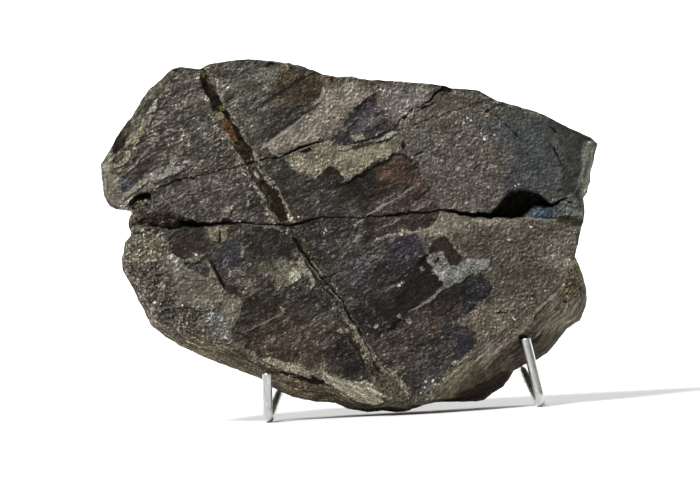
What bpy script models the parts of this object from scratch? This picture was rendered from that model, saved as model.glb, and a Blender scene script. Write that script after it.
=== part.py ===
"""Fossil leaf plate on a small steel rod stand.

A split rock slab with part of a pinnate leaf across its face leans back on two bent rods, whose hooks hold its
lower edge, and a rear leg props the rods up. Metres, +Z up, the face towards -Y. The origin is on the table, at
the middle of the whole thing's footprint.
"""

import itertools
import math

import bmesh
import bpy
import numpy as np
from mathutils import Vector
from mathutils.geometry import delaunay_2d_cdt

MM = 0.001

# Driving dimensions
SLAB_WIDTH = 0.250
LEAN = math.radians(12.0)
ROD_WIDTH = 0.005
ROD_SIDES = 10
TOUCH = 0.0003

# How the slab was read from the photograph: its width there in pixels, the middle of the picture, the pixels
# that the front feet touch the table at, and an eye level with the middle of the slab
SLAB_PIXELS = 498.0
PICTURE_MIDDLE = (350.0, 242.0)
LEFT_FOOT_PIXEL = (268.0, 423.0)
RIGHT_FOOT_PIXEL = (545.0, 407.0)
EYE_DISTANCE = 2.0
PIXEL = SLAB_WIDTH / SLAB_PIXELS
ROLL = math.atan2(LEFT_FOOT_PIXEL[1] - RIGHT_FOOT_PIXEL[1], RIGHT_FOOT_PIXEL[0] - LEFT_FOOT_PIXEL[0])

# The face plane meets the table this far behind the front feet
FACE_BACK = -0.006
# The middle of the footprint: where the eye looks, and the front feet
MIDDLE_X = -0.0022
FRONT_Y = -0.0744

# The slab's mesh: spacing on the face and round its side in pixels, and rows down the side
FACE_STEP = 10.5
RIM_STEP = 13.0
BACK_STEP = 15.0
FEATURE_STEP = 5.0
FLANK_ROWS = 3
SIDE_ROWS = 4

SLAB_CENTRE = np.array((350.0, 238.0))


def flush(x, y, inset=4.0, depth=4.0):
    """A rim station where the face runs out to the slab's outline."""
    out = np.array((x, y))
    inward = SLAB_CENTRE - out
    edge = out + inward * (inset / np.hypot(*inward))
    return (edge[0], edge[1], x, y, depth)


# The rim, clockwise from the left tip. Each station has the face's edge and the slab's outline, in pixels of the
# photograph, and how deep behind the face plane the outline lies, in millimetres.
RIM = [
    flush(100.2, 164.8, 6), flush(109.8, 149.5, 9), flush(115.5, 138, 10), flush(121.9, 127.8, 10),
    flush(132, 116.3, 10), flush(141, 99.7, 9), flush(150, 88.3, 8), flush(161.4, 78, 7),
    flush(171.6, 69, 5), flush(180.6, 66.6), flush(199.7, 69), flush(208.6, 64), flush(226.5, 60.8),
    flush(248.2, 58.7), flush(267.3, 60.2), flush(280, 61.5), flush(300.4, 65), flush(320.8, 73.6),
    flush(331, 75.5), flush(351.4, 77.4), flush(369.3, 79.3), flush(401, 81.3), flush(424, 83),
    flush(444.5, 85), flush(452.2, 88.3), flush(466.4, 88.8), flush(478.5, 90.3), flush(494.2, 98.8),
    flush(502.7, 101.8), flush(527, 108.5), flush(544, 114.5), flush(558.5, 122.4), flush(575.5, 130.3),
    (588.0, 139.5, 591.2, 137.6, 5), (591.0, 142.5, 597.9, 143.6, 7), (589.5, 150, 595.5, 152, 9),
    (587.0, 160, 593.6, 163, 10), (584.0, 168.5, 590.6, 172.7, 10), (581.5, 177, 590, 182, 12),
    (578.5, 188, 587.6, 192, 12), (578.0, 198, 584, 198, 11), (579.5, 212, 585, 213, 11),
    (578.0, 222, 583.5, 222, 8), flush(581.5, 228.5), flush(578.6, 243.8), flush(575.4, 256.5, 3, 8),
    (570.5, 262, 580, 267, 22), (566.5, 270, 582.4, 274, 30), (562.5, 281, 586.5, 289, 36),
    (557.0, 291, 587.2, 298, 38), (551.0, 299, 586.0, 307, 39), (544.0, 308, 580.6, 320.7, 40),
    (537.5, 316, 566.6, 329, 41), (531.0, 324, 561, 337.5, 41), (525.5, 331, 547, 353, 42),
    (520.0, 337.5, 535.7, 360.7, 42), (513.0, 342, 524.5, 365, 42), (506.0, 346.5, 514, 370.5, 42),
    (500.0, 353.5, 509.8, 378.2, 42), (493.0, 362, 503.5, 386.6, 42), (486.6, 369.8, 492.2, 393.7, 42),
    (478.0, 378, 483.8, 400, 41), (470.0, 386, 475, 401.6, 38), (459.0, 395, 458.6, 402, 30),
    (441.7, 398.5, 441.7, 402.4, 22), (424.0, 400.5, 423.5, 404.2, 19), (407.0, 398.8, 408, 411.2, 24),
    (395.0, 397.8, 395.4, 412.6, 28), (381.0, 396.3, 382.4, 410.8, 29), (366.0, 386.5, 367, 412.2, 31),
    (349.0, 380, 348.7, 409.4, 32), (333.0, 376, 334.7, 403, 33), (317.0, 374.5, 319.3, 402.4, 34),
    (300.0, 372.5, 303.8, 400.3, 34), (284.0, 370, 291.2, 396.8, 34), (272.0, 366.5, 280, 391.9, 34),
    (254.0, 359, 260.3, 379.3, 33), (240.0, 351, 242, 371.6, 31), (221.0, 341, 221, 364.5, 29),
    (203.0, 336, 204, 357.5, 26), (183.0, 329, 180, 346, 22), (169.0, 321, 165, 337, 20),
    (159.0, 315, 151.2, 325.4, 18), (152.0, 305, 144.8, 312.7, 16), (146.0, 294, 138.5, 300, 14),
    (140.0, 284, 133.4, 288.4, 13), (133.5, 276, 127, 279.5, 12), (128.0, 268, 121.9, 269.3, 11),
    (127.0, 259, 121.3, 259, 10), (129.0, 252.5, 123.4, 252.7, 9), (130.0, 244, 124.4, 242.5, 8),
    (135.0, 237.5, 130.2, 236, 9), (134.5, 232, 130.6, 232.3, 12), (132.5, 226.5, 128.3, 227.2, 14),
    (132.5, 220.5, 128.3, 220.8, 14), (134.5, 213.5, 130.6, 213.2, 14), (131.5, 205, 128.3, 209.6, 12),
    (118.0, 203.5, 115.5, 209.3, 7), (112.5, 201, 109, 206, 6), flush(104, 196.6, 5), flush(101.5, 180, 5),
]

# Lines on the face in pixels. A crack's points also give its half width in pixels and its depth in millimetres.
MAIN_CRACK = [
    (200, 224.5, 3.4, 5), (212, 226, 3.2, 5), (228, 223.5, 2.2, 4), (262, 224.5, 2, 4), (285, 225, 2, 4),
    (300, 223.5, 2, 3.5), (322, 218, 2, 3.5), (358, 218.5, 2, 3.5), (398, 213.5, 2, 3.5),
    (442, 210.6, 2, 4), (456, 211.9, 2.4, 5), (471.4, 216.4, 3, 6), (490, 215.4, 3, 8),
]
UPPER_CRACK = [
    (150, 190, 2, 2.5), (172, 183, 2, 2.5), (200, 175, 2, 2), (243, 166, 2, 2), (262, 158, 2, 2),
    (290, 152, 2, 2), (305, 144, 2, 2), (331, 137, 1.8, 1.5),
]
TOP_CRACK = [(390, 126.5, 2.2, 1.2), (433, 101, 2.6, 1.8), (445, 86, 4, 3.5)]
LEAF_CRACK = [(300, 240, 1.8, 1.2), (330, 285, 2, 2), (352, 320, 2, 2), (366, 346, 1.8, 1.2)]
CRACKS = (MAIN_CRACK, UPPER_CRACK, TOP_CRACK, LEAF_CRACK)

# The leaf's midrib: half width in pixels, and millimetres of groove, or of ridge where negative
MIDRIB = [
    (202, 70, 6, 1.4), (217.5, 106, 8, 1.9), (248, 160, 8, 1.9), (284, 219, 7, 1.6), (301, 244, 5, -0.5),
    (330, 290, 5, -0.9), (361, 345, 5, -0.9), (378, 372, 5, -0.6), (404, 393, 4, -0.3),
]

# The low step up to the lower layer of the face, from the upper crack's end to the top edge
LEDGE = [
    (331, 144), (351, 146), (369, 138), (392, 130), (420, 124), (448, 112), (478.5, 102.4), (494, 97),
]
LEDGE_RISE = 0.9
LEDGE_LEFT = (320, 335)
LEDGE_RIGHT = (500, 488)

# The face's gentle waves, as (millimetres, size in pixels, seed), and how far its edge is rounded off
FACE_WAVES = ((0.9, 55, 1), (0.35, 22, 2))
FACE_LIP = 0.6

# Broken hollows: the arched cavity, the recess beside it and the pocket at the left end of the main crack
ARCH = [
    (489, 217), (491.8, 213), (497, 206.8), (502, 199), (509.7, 193.4), (518.6, 190.2), (530, 190.8),
    (540.3, 195.3), (546.7, 201), (551.5, 205), (548, 207.5), (534, 207.5), (524, 217.4), (508, 217.6),
]
ARCH_DEPTH = 15.0
RECESS = [
    (521, 217.3), (534, 205.5), (548, 204), (551.5, 204.5), (558, 199.4), (570, 195.6), (576.4, 189.1),
    (579, 183), (596, 183), (596, 227), (582.4, 226.6), (565.8, 222), (555.8, 219.5), (544, 218.8),
]
RECESS_DEPTH = 6.5
POCKET = [
    (120, 211), (131, 202.5), (138, 194.5), (144, 192.5), (150, 192.8), (151, 210), (163, 213), (179, 213.5),
    (187, 218.5), (201, 223), (204, 227), (185, 227), (176, 229.5), (160, 230), (147, 227.5), (120, 234),
]
POCKET_DEPTH = 8.0
HOLLOWS = ((ARCH, ARCH_DEPTH), (RECESS, RECESS_DEPTH), (POCKET, POCKET_DEPTH))
HOLLOW_WALL = 4.4
HOLLOW_FLOOR_WAVE = 1.2

# The smooth bevel at the lower right falls away outside this line, millimetres per pixel
BEVEL_LINE = [(572, 252), (554, 291), (520, 318), (478, 343), (462.8, 362.8), (440, 385), (424, 398)]
BEVEL_FALL = 0.17

# The slab's thickness at its middle, how much it grows towards the right end and the bottom, and the layers
# that its back broke along, in millimetres
THICKNESS = 40.0
THICKER_RIGHT = 5.0
THICKER_DOWN = 5.9
LAYER = 3.6
BACK_WAVES = ((3.6, 110, 11), (1.0, 38, 12))

# How far the back's edge lies inside the slab's outline, in pixels: everywhere, more at the ends, and more at
# the bottom, with waves along it
BACK_INSET = 9.0
END_INSET = 9.0
BOTTOM_INSET = 20.0
INSET_WAVES = (6.0, 34, 21)

# The stand: where the rods' middle lines pass, as (pixel x, pixel y, metres behind the feet), and their bends
LEFT_ROD = {
    "tip": (267.3, 373.5, 0.0013), "foot": (267.6, 420.0, 0.0020), "under": (276.8, 396.5, 0.0330),
    "turn_back": 0.0465,
}
RIGHT_ROD = {
    "tip": (525.4, 338.5, 0.0034), "foot": (542.0, 403.5, 0.0020), "under": (525.0, 372.4, 0.0400),
    "turn_back": 0.0490,
}
FOOT_BEND = 0.0045
BACK_BEND = 0.0080
APEX_X = 0.0120
APEX_HEIGHT = 0.1180
APEX_CLEAR = 0.0426
APEX_LENGTH = 0.0140
REAR_FOOT = (0.0150, 0.1500)
REAR_BEND = 0.0100
FLAT_CUT = 0.00025


def sight(x, y):
    """How far the eye's line through a pixel moves right and up for each metre it goes back."""
    across = x - PICTURE_MIDDLE[0]
    down = y - PICTURE_MIDDLE[1]
    right = across * math.cos(ROLL) - down * math.sin(ROLL)
    up = -across * math.sin(ROLL) - down * math.cos(ROLL)
    return right * PIXEL / EYE_DISTANCE, up * PIXEL / EYE_DISTANCE


EYE_HEIGHT = -sight(*LEFT_FOOT_PIXEL)[1] * EYE_DISTANCE


def at_back(x, y, back):
    """The point that shows at a pixel and lies this far behind the front feet."""
    right, up = sight(x, y)
    reach = EYE_DISTANCE + back
    return Vector((MIDDLE_X + right * reach, FRONT_Y + back, EYE_HEIGHT + up * reach))


def on_slab(x, y, rise):
    """The points that show at pixels and lie this far in front of the slab's face plane, as rows."""
    right, up = sight(x, y)
    slope = math.tan(LEAN)
    back = FACE_BACK + (EYE_HEIGHT + up * EYE_DISTANCE) * slope - rise / math.cos(LEAN)
    back = back / (1.0 - up * slope)
    reach = EYE_DISTANCE + back
    return np.stack((MIDDLE_X + right * reach, FRONT_Y + back, EYE_HEIGHT + up * reach), axis=1)


def ease(low, high, value):
    """0 below low, 1 above high and a smooth rise between them."""
    t = np.clip((value - low) / (high - low), 0.0, 1.0)
    return t * t * (3.0 - 2.0 * t)


def lumps(points, size, seed):
    """Smooth noise from -1 to 1 over the rows of points, with lumps of this size."""
    p = np.asarray(points, float) / size
    if p.shape[1] == 2:
        p = np.column_stack((p, np.zeros(len(p))))
    cell = np.floor(p).astype(np.int64)
    part = p - cell
    part = part * part * (3.0 - 2.0 * part)
    total = np.zeros(len(p))
    for corner in itertools.product((0, 1), repeat=3):
        at = cell + np.array(corner)
        mixed = (at[:, 0] * 374761393 + at[:, 1] * 668265263 + at[:, 2] * 144665 + seed * 974711) & 0xFFFFFFFF
        mixed = ((mixed ^ (mixed >> 13)) * 1274126177) & 0xFFFFFFFF
        value = (mixed ^ (mixed >> 16)) / 2147483648.0 - 1.0
        weight = np.prod(np.where(corner, part, 1.0 - part), axis=1)
        total += value * weight
    return total


def waves(points, sizes):
    """The sum of several sizes of lumps, each given as (height, size, seed)."""
    return sum(height * lumps(points, size, seed) for height, size, seed in sizes)


def nearest(points, line):
    """For each point, its distance from a line, 1 below the line or -1 above it, and the line's other columns."""
    line = np.array(line, float)
    best = np.full(len(points), 1e9)
    side = np.ones(len(points))
    columns = np.zeros((len(points), line.shape[1] - 2))
    for a, b in zip(line, line[1:]):
        run = b[:2] - a[:2]
        t = np.clip((points - a[:2]) @ run / (run @ run), 0.0, 1.0)
        off = points - a[:2] - t[:, None] * run
        far = np.hypot(off[:, 0], off[:, 1])
        nearer = far < best
        best[nearer] = far[nearer]
        side[nearer] = np.sign(run[0] * off[nearer, 1] - run[1] * off[nearer, 0])
        columns[nearer] = (a[2:] + t[:, None] * (b[2:] - a[2:]))[nearer]
    return best, side, columns


def inside(points, shape):
    """True for each point inside a closed outline."""
    shape = np.array(shape, float)[:, :2]
    found = np.zeros(len(points), bool)
    for a, b in zip(shape, np.roll(shape, -1, axis=0)):
        if a[1] == b[1]:
            continue
        spans = (a[1] > points[:, 1]) != (b[1] > points[:, 1])
        meets = (b[0] - a[0]) * (points[:, 1] - a[1]) / (b[1] - a[1]) + a[0]
        found ^= spans & (points[:, 0] < meets)
    return found


def inward(points, shape):
    """Distance of each point from a closed outline, positive inside it."""
    far = nearest(points, list(shape) + [shape[0]])[0]
    return np.where(inside(points, shape), far, -far)


def face_rise(points):
    """Height of the face above its plane, in millimetres, at pixels."""
    rise = waves(points, FACE_WAVES)
    far, side, _ = nearest(points, LEDGE)
    reached = ease(*LEDGE_LEFT, points[:, 0]) * ease(*LEDGE_RIGHT, points[:, 0])
    rise += LEDGE_RISE * (ease(-4, 4, far * side) - 0.5) * reached * ease(60, 20, far)
    far, _, columns = nearest(points, MIDRIB)
    rise -= columns[:, 1] * ease(1.35, 0.55, far / columns[:, 0])
    far, side, _ = nearest(points, BEVEL_LINE)
    lower_right = ease(415, 450, points[:, 0]) * ease(238, 262, points[:, 1])
    rise -= BEVEL_FALL * far * (side < 0) * lower_right
    for shape, depth in HOLLOWS:
        deep = ease(-HOLLOW_WALL / 2, HOLLOW_WALL / 2, inward(points, shape))
        rise = rise * (1 - deep) + (-depth + HOLLOW_FLOOR_WAVE * lumps(points, 12, 3)) * deep
    for line in CRACKS:
        far, _, columns = nearest(points, line)
        open_part = np.minimum(rise, -columns[:, 1] * ease(1.0, 0.0, far / columns[:, 0]))
        rise = np.where(far < columns[:, 0], open_part, rise)
    return rise


def back_depth(points):
    """How far the slab's rough back lies behind the face plane, in millimetres, at pixels."""
    tilt = (points - SLAB_CENTRE) @ np.array((THICKER_RIGHT, THICKER_DOWN)) / (SLAB_PIXELS / 2)
    layer = (THICKNESS + tilt + waves(points, BACK_WAVES)) / LAYER
    stepped = np.floor(layer) + ease(0.55, 0.95, layer % 1.0)
    return LAYER * (0.7 * stepped + 0.3 * layer) + 0.5 * lumps(points, 24, 13)


def between(a, b, step):
    """Points from a up to b, without b, about a step apart."""
    count = max(1, round(math.dist(a[2:4], b[2:4]) / step))
    return [a + (b - a) * i / count for i in range(count)]


def rim_stations(step):
    """The rim with more stations, about a step apart along the outline, as rows."""
    rim = np.array(RIM, float)
    return np.array([row for a, b in zip(rim, np.roll(rim, -1, axis=0)) for row in between(a, b, step)])


def crack_points(step):
    """Points along each crack and hollow wall, so that the face's triangles follow them."""
    rows = []
    for line in CRACKS:
        for a, b in zip(line, line[1:]):
            a, b = np.array(a, float), np.array(b, float)
            across = np.array((a[1] - b[1], b[0] - a[0])) / math.dist(a[:2], b[:2])
            count = max(1, round(math.dist(a[:2], b[:2]) / step))
            for i in range(count):
                on = a + (b - a) * i / count
                rows += [on[:2] + across * on[2] * offset for offset in (-1.0, 0.0, 1.0)]
    for shape, _ in HOLLOWS:
        corners = np.array(shape, float)
        middle = corners.mean(axis=0)
        for a, b in zip(corners, np.roll(corners, -1, axis=0)):
            count = max(1, round(math.dist(a, b) / step))
            for i in range(count):
                on = a + (b - a) * i / count
                away = (on - middle) / math.dist(on, middle)
                rows += [on + away * HOLLOW_WALL / 2, on - away * HOLLOW_WALL / 2]
    return np.array(rows)


def fill_points(outline, step, lines, rng):
    """Evenly scattered points inside an outline, with the points of its lines among them."""
    low, high = outline.min(axis=0), outline.max(axis=0)
    xs = np.arange(low[0], high[0], step)
    ys = np.arange(low[1], high[1], step * 0.866)
    grid = np.array([(x + (row % 2) * step / 2, y) for row, y in enumerate(ys) for x in xs])
    grid += rng.uniform(-0.18, 0.18, grid.shape) * step
    if len(lines):
        lines = lines[inward(lines, outline) > 0.2 * step]
        lines = thin_out(lines, 0.17 * step)
        apart = np.array([np.hypot(*(lines - p).T).min() for p in grid])
        grid = grid[apart > 0.55 * step]
    grid = grid[inward(grid, outline) > 0.5 * step]
    return np.vstack((lines, grid)) if len(lines) else grid


def thin_out(points, least):
    """Drops each point that lies too near an earlier one."""
    kept = []
    for p in points:
        if not kept or np.hypot(*(np.array(kept) - p).T).min() > least:
            kept.append(p)
    return np.array(kept)


def triangles_inside(outline, points):
    """Triangles over the outline's points followed by the points inside it."""
    everything = np.vstack((outline, points))
    loop = list(range(len(outline)))
    found = delaunay_2d_cdt([Vector(p) for p in everything], [], [loop], 1, 1e-5)
    if len(found[0]) != len(everything):
        raise ValueError("the triangulation added or merged a point")
    order = [group[0] for group in found[3]]
    return everything, [[order[i] for i in face] for face in found[2]]


def slab_side(stations):
    """Rows of (x, y, depth) down the side, from just below the face's edge to the back's edge."""
    edge, out, depth = stations[:, :2], stations[:, 2:4], stations[:, 4]
    start = -face_rise(edge) + FACE_LIP
    rows = []
    for i in range(1, FLANK_ROWS + 1):
        t = i / FLANK_ROWS
        rows.append(np.column_stack((edge + (out - edge) * t ** 0.8, start + (depth - start) * t ** 1.6)))
    towards = SLAB_CENTRE - out
    towards /= np.hypot(*towards.T)[:, None]
    inset = BACK_INSET + BOTTOM_INSET * np.maximum(0, towards[:, 1]) + END_INSET * np.abs(towards[:, 0])
    inset += waves(out, (INSET_WAVES,))
    deepest = np.maximum(depth + 3.0, back_depth(out) - 1.5)
    for i in range(1, SIDE_ROWS + 1):
        t = i / SIDE_ROWS
        to = out + towards * (inset * t ** 1.7)[:, None]
        rows.append(np.column_stack((to, depth + (deepest - depth) * math.sin(t * math.pi / 2) ** 0.8)))
    for number, row in enumerate(rows):
        amount = 0.0 if number == FLANK_ROWS - 1 else 1.0
        broken = 3.4 * np.abs(lumps(row, 30, 24)) - 1.2 + 1.3 * lumps(row, 14, 22)
        row[:, :2] += towards * (amount * broken)[:, None]
        row[:, 2] += 1.4 * amount * lumps(row, 19, 23)
    return rows


def slab_mesh():
    """The slab's points in metres and its faces."""
    rng = np.random.default_rng(7)
    stations = rim_stations(RIM_STEP)
    count = len(stations)
    edge = stations[:, :2]
    flat, faces = triangles_inside(edge, fill_points(edge, FACE_STEP, crack_points(FEATURE_STEP), rng))
    rise = face_rise(flat)
    rise[:count] -= FACE_LIP
    points = [np.column_stack((flat, rise))]
    previous = np.arange(count)
    start = len(flat)
    for row in slab_side(stations):
        ring = np.arange(start, start + count)
        for i in range(count):
            j = (i + 1) % count
            faces += [[previous[i], ring[i], ring[j]], [previous[i], ring[j], previous[j]]]
        points.append(np.column_stack((row[:, :2], -row[:, 2])))
        previous = ring
        start += count
    rear_loop = points[-1][:, :2]
    flat, rear_faces = triangles_inside(rear_loop, fill_points(rear_loop, BACK_STEP, [], rng))
    middle = flat[count:]
    points.append(np.column_stack((middle, -back_depth(middle))))
    faces += [[previous[i] if i < count else start + i - count for i in face] for face in rear_faces]
    everything = np.vstack(points)
    return on_slab(everything[:, 0], everything[:, 1], everything[:, 2] * MM), faces


def rounded(corners, bends, turn=math.radians(18)):
    """A path through corners with each inner corner bent to a radius, as points a small turn apart."""
    path = [corners[0]]
    for before, corner, after, bend in zip(corners, corners[1:], corners[2:], bends):
        towards, away = (before - corner).normalized(), (after - corner).normalized()
        half = towards.angle(away) / 2
        centre = corner + (towards + away).normalized() * (bend / math.sin(half))
        first = (corner + towards * (bend / math.tan(half)) - centre).normalized()
        last = (corner + away * (bend / math.tan(half)) - centre).normalized()
        steps = max(2, math.ceil(first.angle(last) / turn))
        path += [centre + first.slerp(last, i / steps) * bend for i in range(steps + 1)]
    return path + [corners[-1]]


def add_rod(bm, path):
    """A closed round rod along a path, with flat-cut ends."""
    ahead = (path[1] - path[0]).normalized()
    across = ahead.orthogonal().normalized()
    rings = []
    for i, point in enumerate(path):
        before = (point - path[i - 1]).normalized() if i else ahead
        after = (path[i + 1] - point).normalized() if i + 1 < len(path) else before
        tangent = (before + after).normalized()
        across = (across - tangent * across.dot(tangent)).normalized()
        other = tangent.cross(across)
        ring = []
        for k in range(ROD_SIDES):
            angle = 2 * math.pi * (k + 0.5) / ROD_SIDES
            ring.append(bm.verts.new(point + (across * math.cos(angle) + other * math.sin(angle)) * ROD_WIDTH / 2))
        rings.append(ring)
    for a, b in zip(rings, rings[1:]):
        for k in range(ROD_SIDES):
            bm.faces.new((a[k], a[(k + 1) % ROD_SIDES], b[(k + 1) % ROD_SIDES], b[k]))
    bm.faces.new(list(reversed(rings[0])))
    bm.faces.new(rings[-1])


def cut_flat_on_table(bm):
    """Cuts the rod off level with the table, which leaves the small flat that it stands on."""
    geometry = bm.verts[:] + bm.edges[:] + bm.faces[:]
    cut = bmesh.ops.bisect_plane(
        bm, geom=geometry, dist=1e-7, plane_co=(0, 0, 0), plane_no=(0, 0, -1), clear_outer=True
    )
    rim = [item for item in cut["geom_cut"] if isinstance(item, bmesh.types.BMEdge)]
    bmesh.ops.edgeloop_fill(bm, edges=rim)


def slab_back_at(height, clear):
    """The Y of the plane that lies this far behind the slab's face plane, at a height."""
    return FRONT_Y + FACE_BACK + height * math.tan(LEAN) + clear / math.cos(LEAN)


def arm_path(rod, side):
    """A stand arm: hook tip, foot, under the slab, up its back and to the top. side is -1 left and 1 right."""
    tip, foot, under = (at_back(*rod[key]) for key in ("tip", "foot", "under"))
    ahead = under - foot
    turn = foot + ahead * ((FRONT_Y + rod["turn_back"] - foot.y) / ahead.y)
    top_x = APEX_X + side * (ROD_WIDTH + TOUCH) / 2
    top = Vector((top_x, slab_back_at(APEX_HEIGHT, APEX_CLEAR), APEX_HEIGHT))
    end = top + Vector((0, math.sin(LEAN), math.cos(LEAN))) * APEX_LENGTH
    bends = (FOOT_BEND, BACK_BEND, BACK_BEND)
    for _ in range(8):
        path = rounded([tip, foot, turn, top, end], bends)
        foot.z += ROD_WIDTH / 2 - FLAT_CUT - min(point.z for point in path)
    return path


def rear_path():
    """The rear leg: its top nestles behind the arms' tops, then it runs down and back to the table."""
    behind = (ROD_WIDTH + TOUCH) * math.sqrt(3) / 2
    out = Vector((0, math.cos(LEAN), -math.sin(LEAN))) * behind
    up = Vector((0, math.sin(LEAN), math.cos(LEAN)))
    corner = Vector((APEX_X, slab_back_at(APEX_HEIGHT, APEX_CLEAR), APEX_HEIGHT)) + out
    foot = Vector((REAR_FOOT[0], FRONT_Y + REAR_FOOT[1], 0))
    below = foot + (foot - corner).normalized() * ROD_WIDTH
    return rounded([corner + up * APEX_LENGTH, corner, below], (REAR_BEND,))


def material(name, colour, rough, metal):
    made = bpy.data.materials.new(name)
    made.use_nodes = True
    shader = made.node_tree.nodes["Principled BSDF"]
    shader.inputs["Base Color"].default_value = (*colour, 1)
    shader.inputs["Roughness"].default_value = rough
    shader.inputs["Metallic"].default_value = metal
    made.diffuse_color = (*colour, 1)
    return made


def add_object(name, mesh, finish):
    mesh.materials.append(finish)
    made = bpy.data.objects.new(name, mesh)
    bpy.context.scene.collection.objects.link(made)
    return made


def add_rod_object(name, path, finish):
    bm = bmesh.new()
    add_rod(bm, path)
    cut_flat_on_table(bm)
    bmesh.ops.recalc_face_normals(bm, faces=bm.faces[:])
    mesh = bpy.data.meshes.new(name)
    bm.to_mesh(mesh)
    bm.free()
    mesh.shade_smooth()
    mesh.set_sharp_from_angle(angle=math.radians(50))
    add_object(name, mesh, finish)


def add_slab(finish):
    points, faces = slab_mesh()
    mesh = bpy.data.meshes.new("fossil_plate")
    mesh.from_pydata(points.tolist(), [], faces)
    bm = bmesh.new()
    bm.from_mesh(mesh)
    bmesh.ops.recalc_face_normals(bm, faces=bm.faces[:])
    bm.to_mesh(mesh)
    bm.free()
    add_object("fossil_plate", mesh, finish)


def main():
    for old in list(bpy.data.objects):
        bpy.data.objects.remove(old, do_unlink=True)
    rock = material("fossil_rock", (0.105, 0.092, 0.078), 0.85, 0.0)
    steel = material("brushed_steel", (0.56, 0.56, 0.55), 0.35, 1.0)
    add_slab(rock)
    add_rod_object("left_arm", arm_path(LEFT_ROD, -1), steel)
    add_rod_object("right_arm", arm_path(RIGHT_ROD, 1), steel)
    add_rod_object("rear_leg", rear_path(), steel)


main()
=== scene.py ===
"""Looks of the fossil leaf plate: a split rock slab with a stained leaf, on a stand of bent steel rod."""

import itertools
import math

import bmesh
import bpy
import numpy as np
from mathutils import Matrix, Vector
from mathutils.geometry import delaunay_2d_cdt
from mathutils.kdtree import KDTree


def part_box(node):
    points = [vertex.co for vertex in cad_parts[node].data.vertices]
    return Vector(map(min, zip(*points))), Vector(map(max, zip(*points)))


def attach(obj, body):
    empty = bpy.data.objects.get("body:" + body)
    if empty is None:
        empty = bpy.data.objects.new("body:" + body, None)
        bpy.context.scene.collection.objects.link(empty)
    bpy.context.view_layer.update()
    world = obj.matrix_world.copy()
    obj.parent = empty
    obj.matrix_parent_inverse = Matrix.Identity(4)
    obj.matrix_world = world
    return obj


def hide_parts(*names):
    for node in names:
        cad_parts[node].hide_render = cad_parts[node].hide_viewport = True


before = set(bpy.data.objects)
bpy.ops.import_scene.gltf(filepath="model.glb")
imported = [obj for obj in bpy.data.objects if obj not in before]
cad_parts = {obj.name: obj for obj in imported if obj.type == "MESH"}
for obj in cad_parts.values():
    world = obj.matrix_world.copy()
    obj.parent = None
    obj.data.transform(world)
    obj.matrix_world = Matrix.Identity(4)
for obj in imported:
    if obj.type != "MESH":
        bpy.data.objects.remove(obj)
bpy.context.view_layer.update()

MM = 0.001

# Sizes in metres that the solids were built to, and the slab's lean
SLAB_WIDTH = 0.250
LEAN = math.radians(12.0)
ROD_WIDTH = 0.005
TOUCH = 0.0003

# The picture's frame in pixels, how far off it was seen from, and where the face stands behind the feet
IMAGE_WIDTH = 700
SLAB_PIXELS = 498.0
PICTURE_MIDDLE = (350.0, 242.0)
LEFT_FOOT_PIXEL = (268.0, 423.0)
RIGHT_FOOT_PIXEL = (545.0, 407.0)
EYE_DISTANCE = 2.0
PIXEL = SLAB_WIDTH / SLAB_PIXELS
ROLL = math.atan2(LEFT_FOOT_PIXEL[1] - RIGHT_FOOT_PIXEL[1], RIGHT_FOOT_PIXEL[0] - LEFT_FOOT_PIXEL[0])
FACE_BACK = -0.006
MIDDLE_X = -0.0022
FRONT_Y = -0.0744
SLAB_CENTRE = np.array((350.0, 238.0))

# The mesh's spacing in pixels of the picture: on the face, along drawn lines, round the side and on the back
FACE_STEP = 1.72
LINE_STEP = 1.25
RIM_STEP = 2.6
BACK_STEP = 3.8
ROW_PITCH = 0.866
GRID_JITTER = 0.2
EDGE_CLEAR = 0.5
LINE_APART = 0.42
LINE_CLEAR = 0.62
MERGE_WITHIN = 1e-5
INSIDE_ONLY = 1
SCATTER_SEED = 7

# Rows of points down the flank and down the side, and how far outside a drawn line its distance is kept
FLANK_ROWS = 12
SIDE_ROWS = 15
LINE_REACH = 4.0

# Where points are added beside drawn things, in pixels, or in half widths for the cracks
CRACK_OFFSETS = (-1.3, -0.55, 0, 0.55, 1.3)
LINE_OFFSETS = (-1.1, 0, 1.1)
CHIP_OFFSETS = (-0.6, 0.6)
HOLLOW_OFFSETS = (-1.2, 0, 1.2)
STEP_OFFSETS = (-0.9, 0.9)
CRYSTAL_OFFSETS = ((0, 0), (-1, 0), (1, 0), (0, -1), (0, 1))

# Fixed random numbers and noise. Waves are given as (height, size, seed), with their size in pixels
DICE_FACTORS = np.array((374761393, 668265263, 144665))
DICE_SEED = 974711
DICE_MIX = 1274126177
DICE_BITS = 0xFFFFFFFF
FLAKE_SCATTER = 0.45
WOBBLES = ((1.3, 10, 91), (0.8, 3.6, 93))


def flush(x, y, inset=2.2, depth=1.8):
    """A rim station where the face runs out to the slab's outline."""
    out = np.array((x, y))
    inward = SLAB_CENTRE - out
    edge = out + inward * (inset / np.hypot(*inward))
    return (edge[0], edge[1], x, y, depth)


# The slab's top edge, where the face runs out to the outline
TOP_EDGE = [
    (180.6, 66.6), (199.7, 69), (208.6, 64), (226.5, 60.8), (248.2, 58.7), (267.3, 60.2), (280, 61.5),
    (300.4, 65), (320.8, 73.6), (331, 75.5), (351.4, 77.4), (369.3, 79.3), (401, 81.3), (424, 83),
    (444.5, 85), (452.2, 88.3), (466.4, 88.8), (478.5, 90.3), (494.2, 98.8), (502.7, 101.8), (527, 108.5),
    (544, 114.5), (558.5, 122.4), (575.5, 130.3),
]

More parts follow.
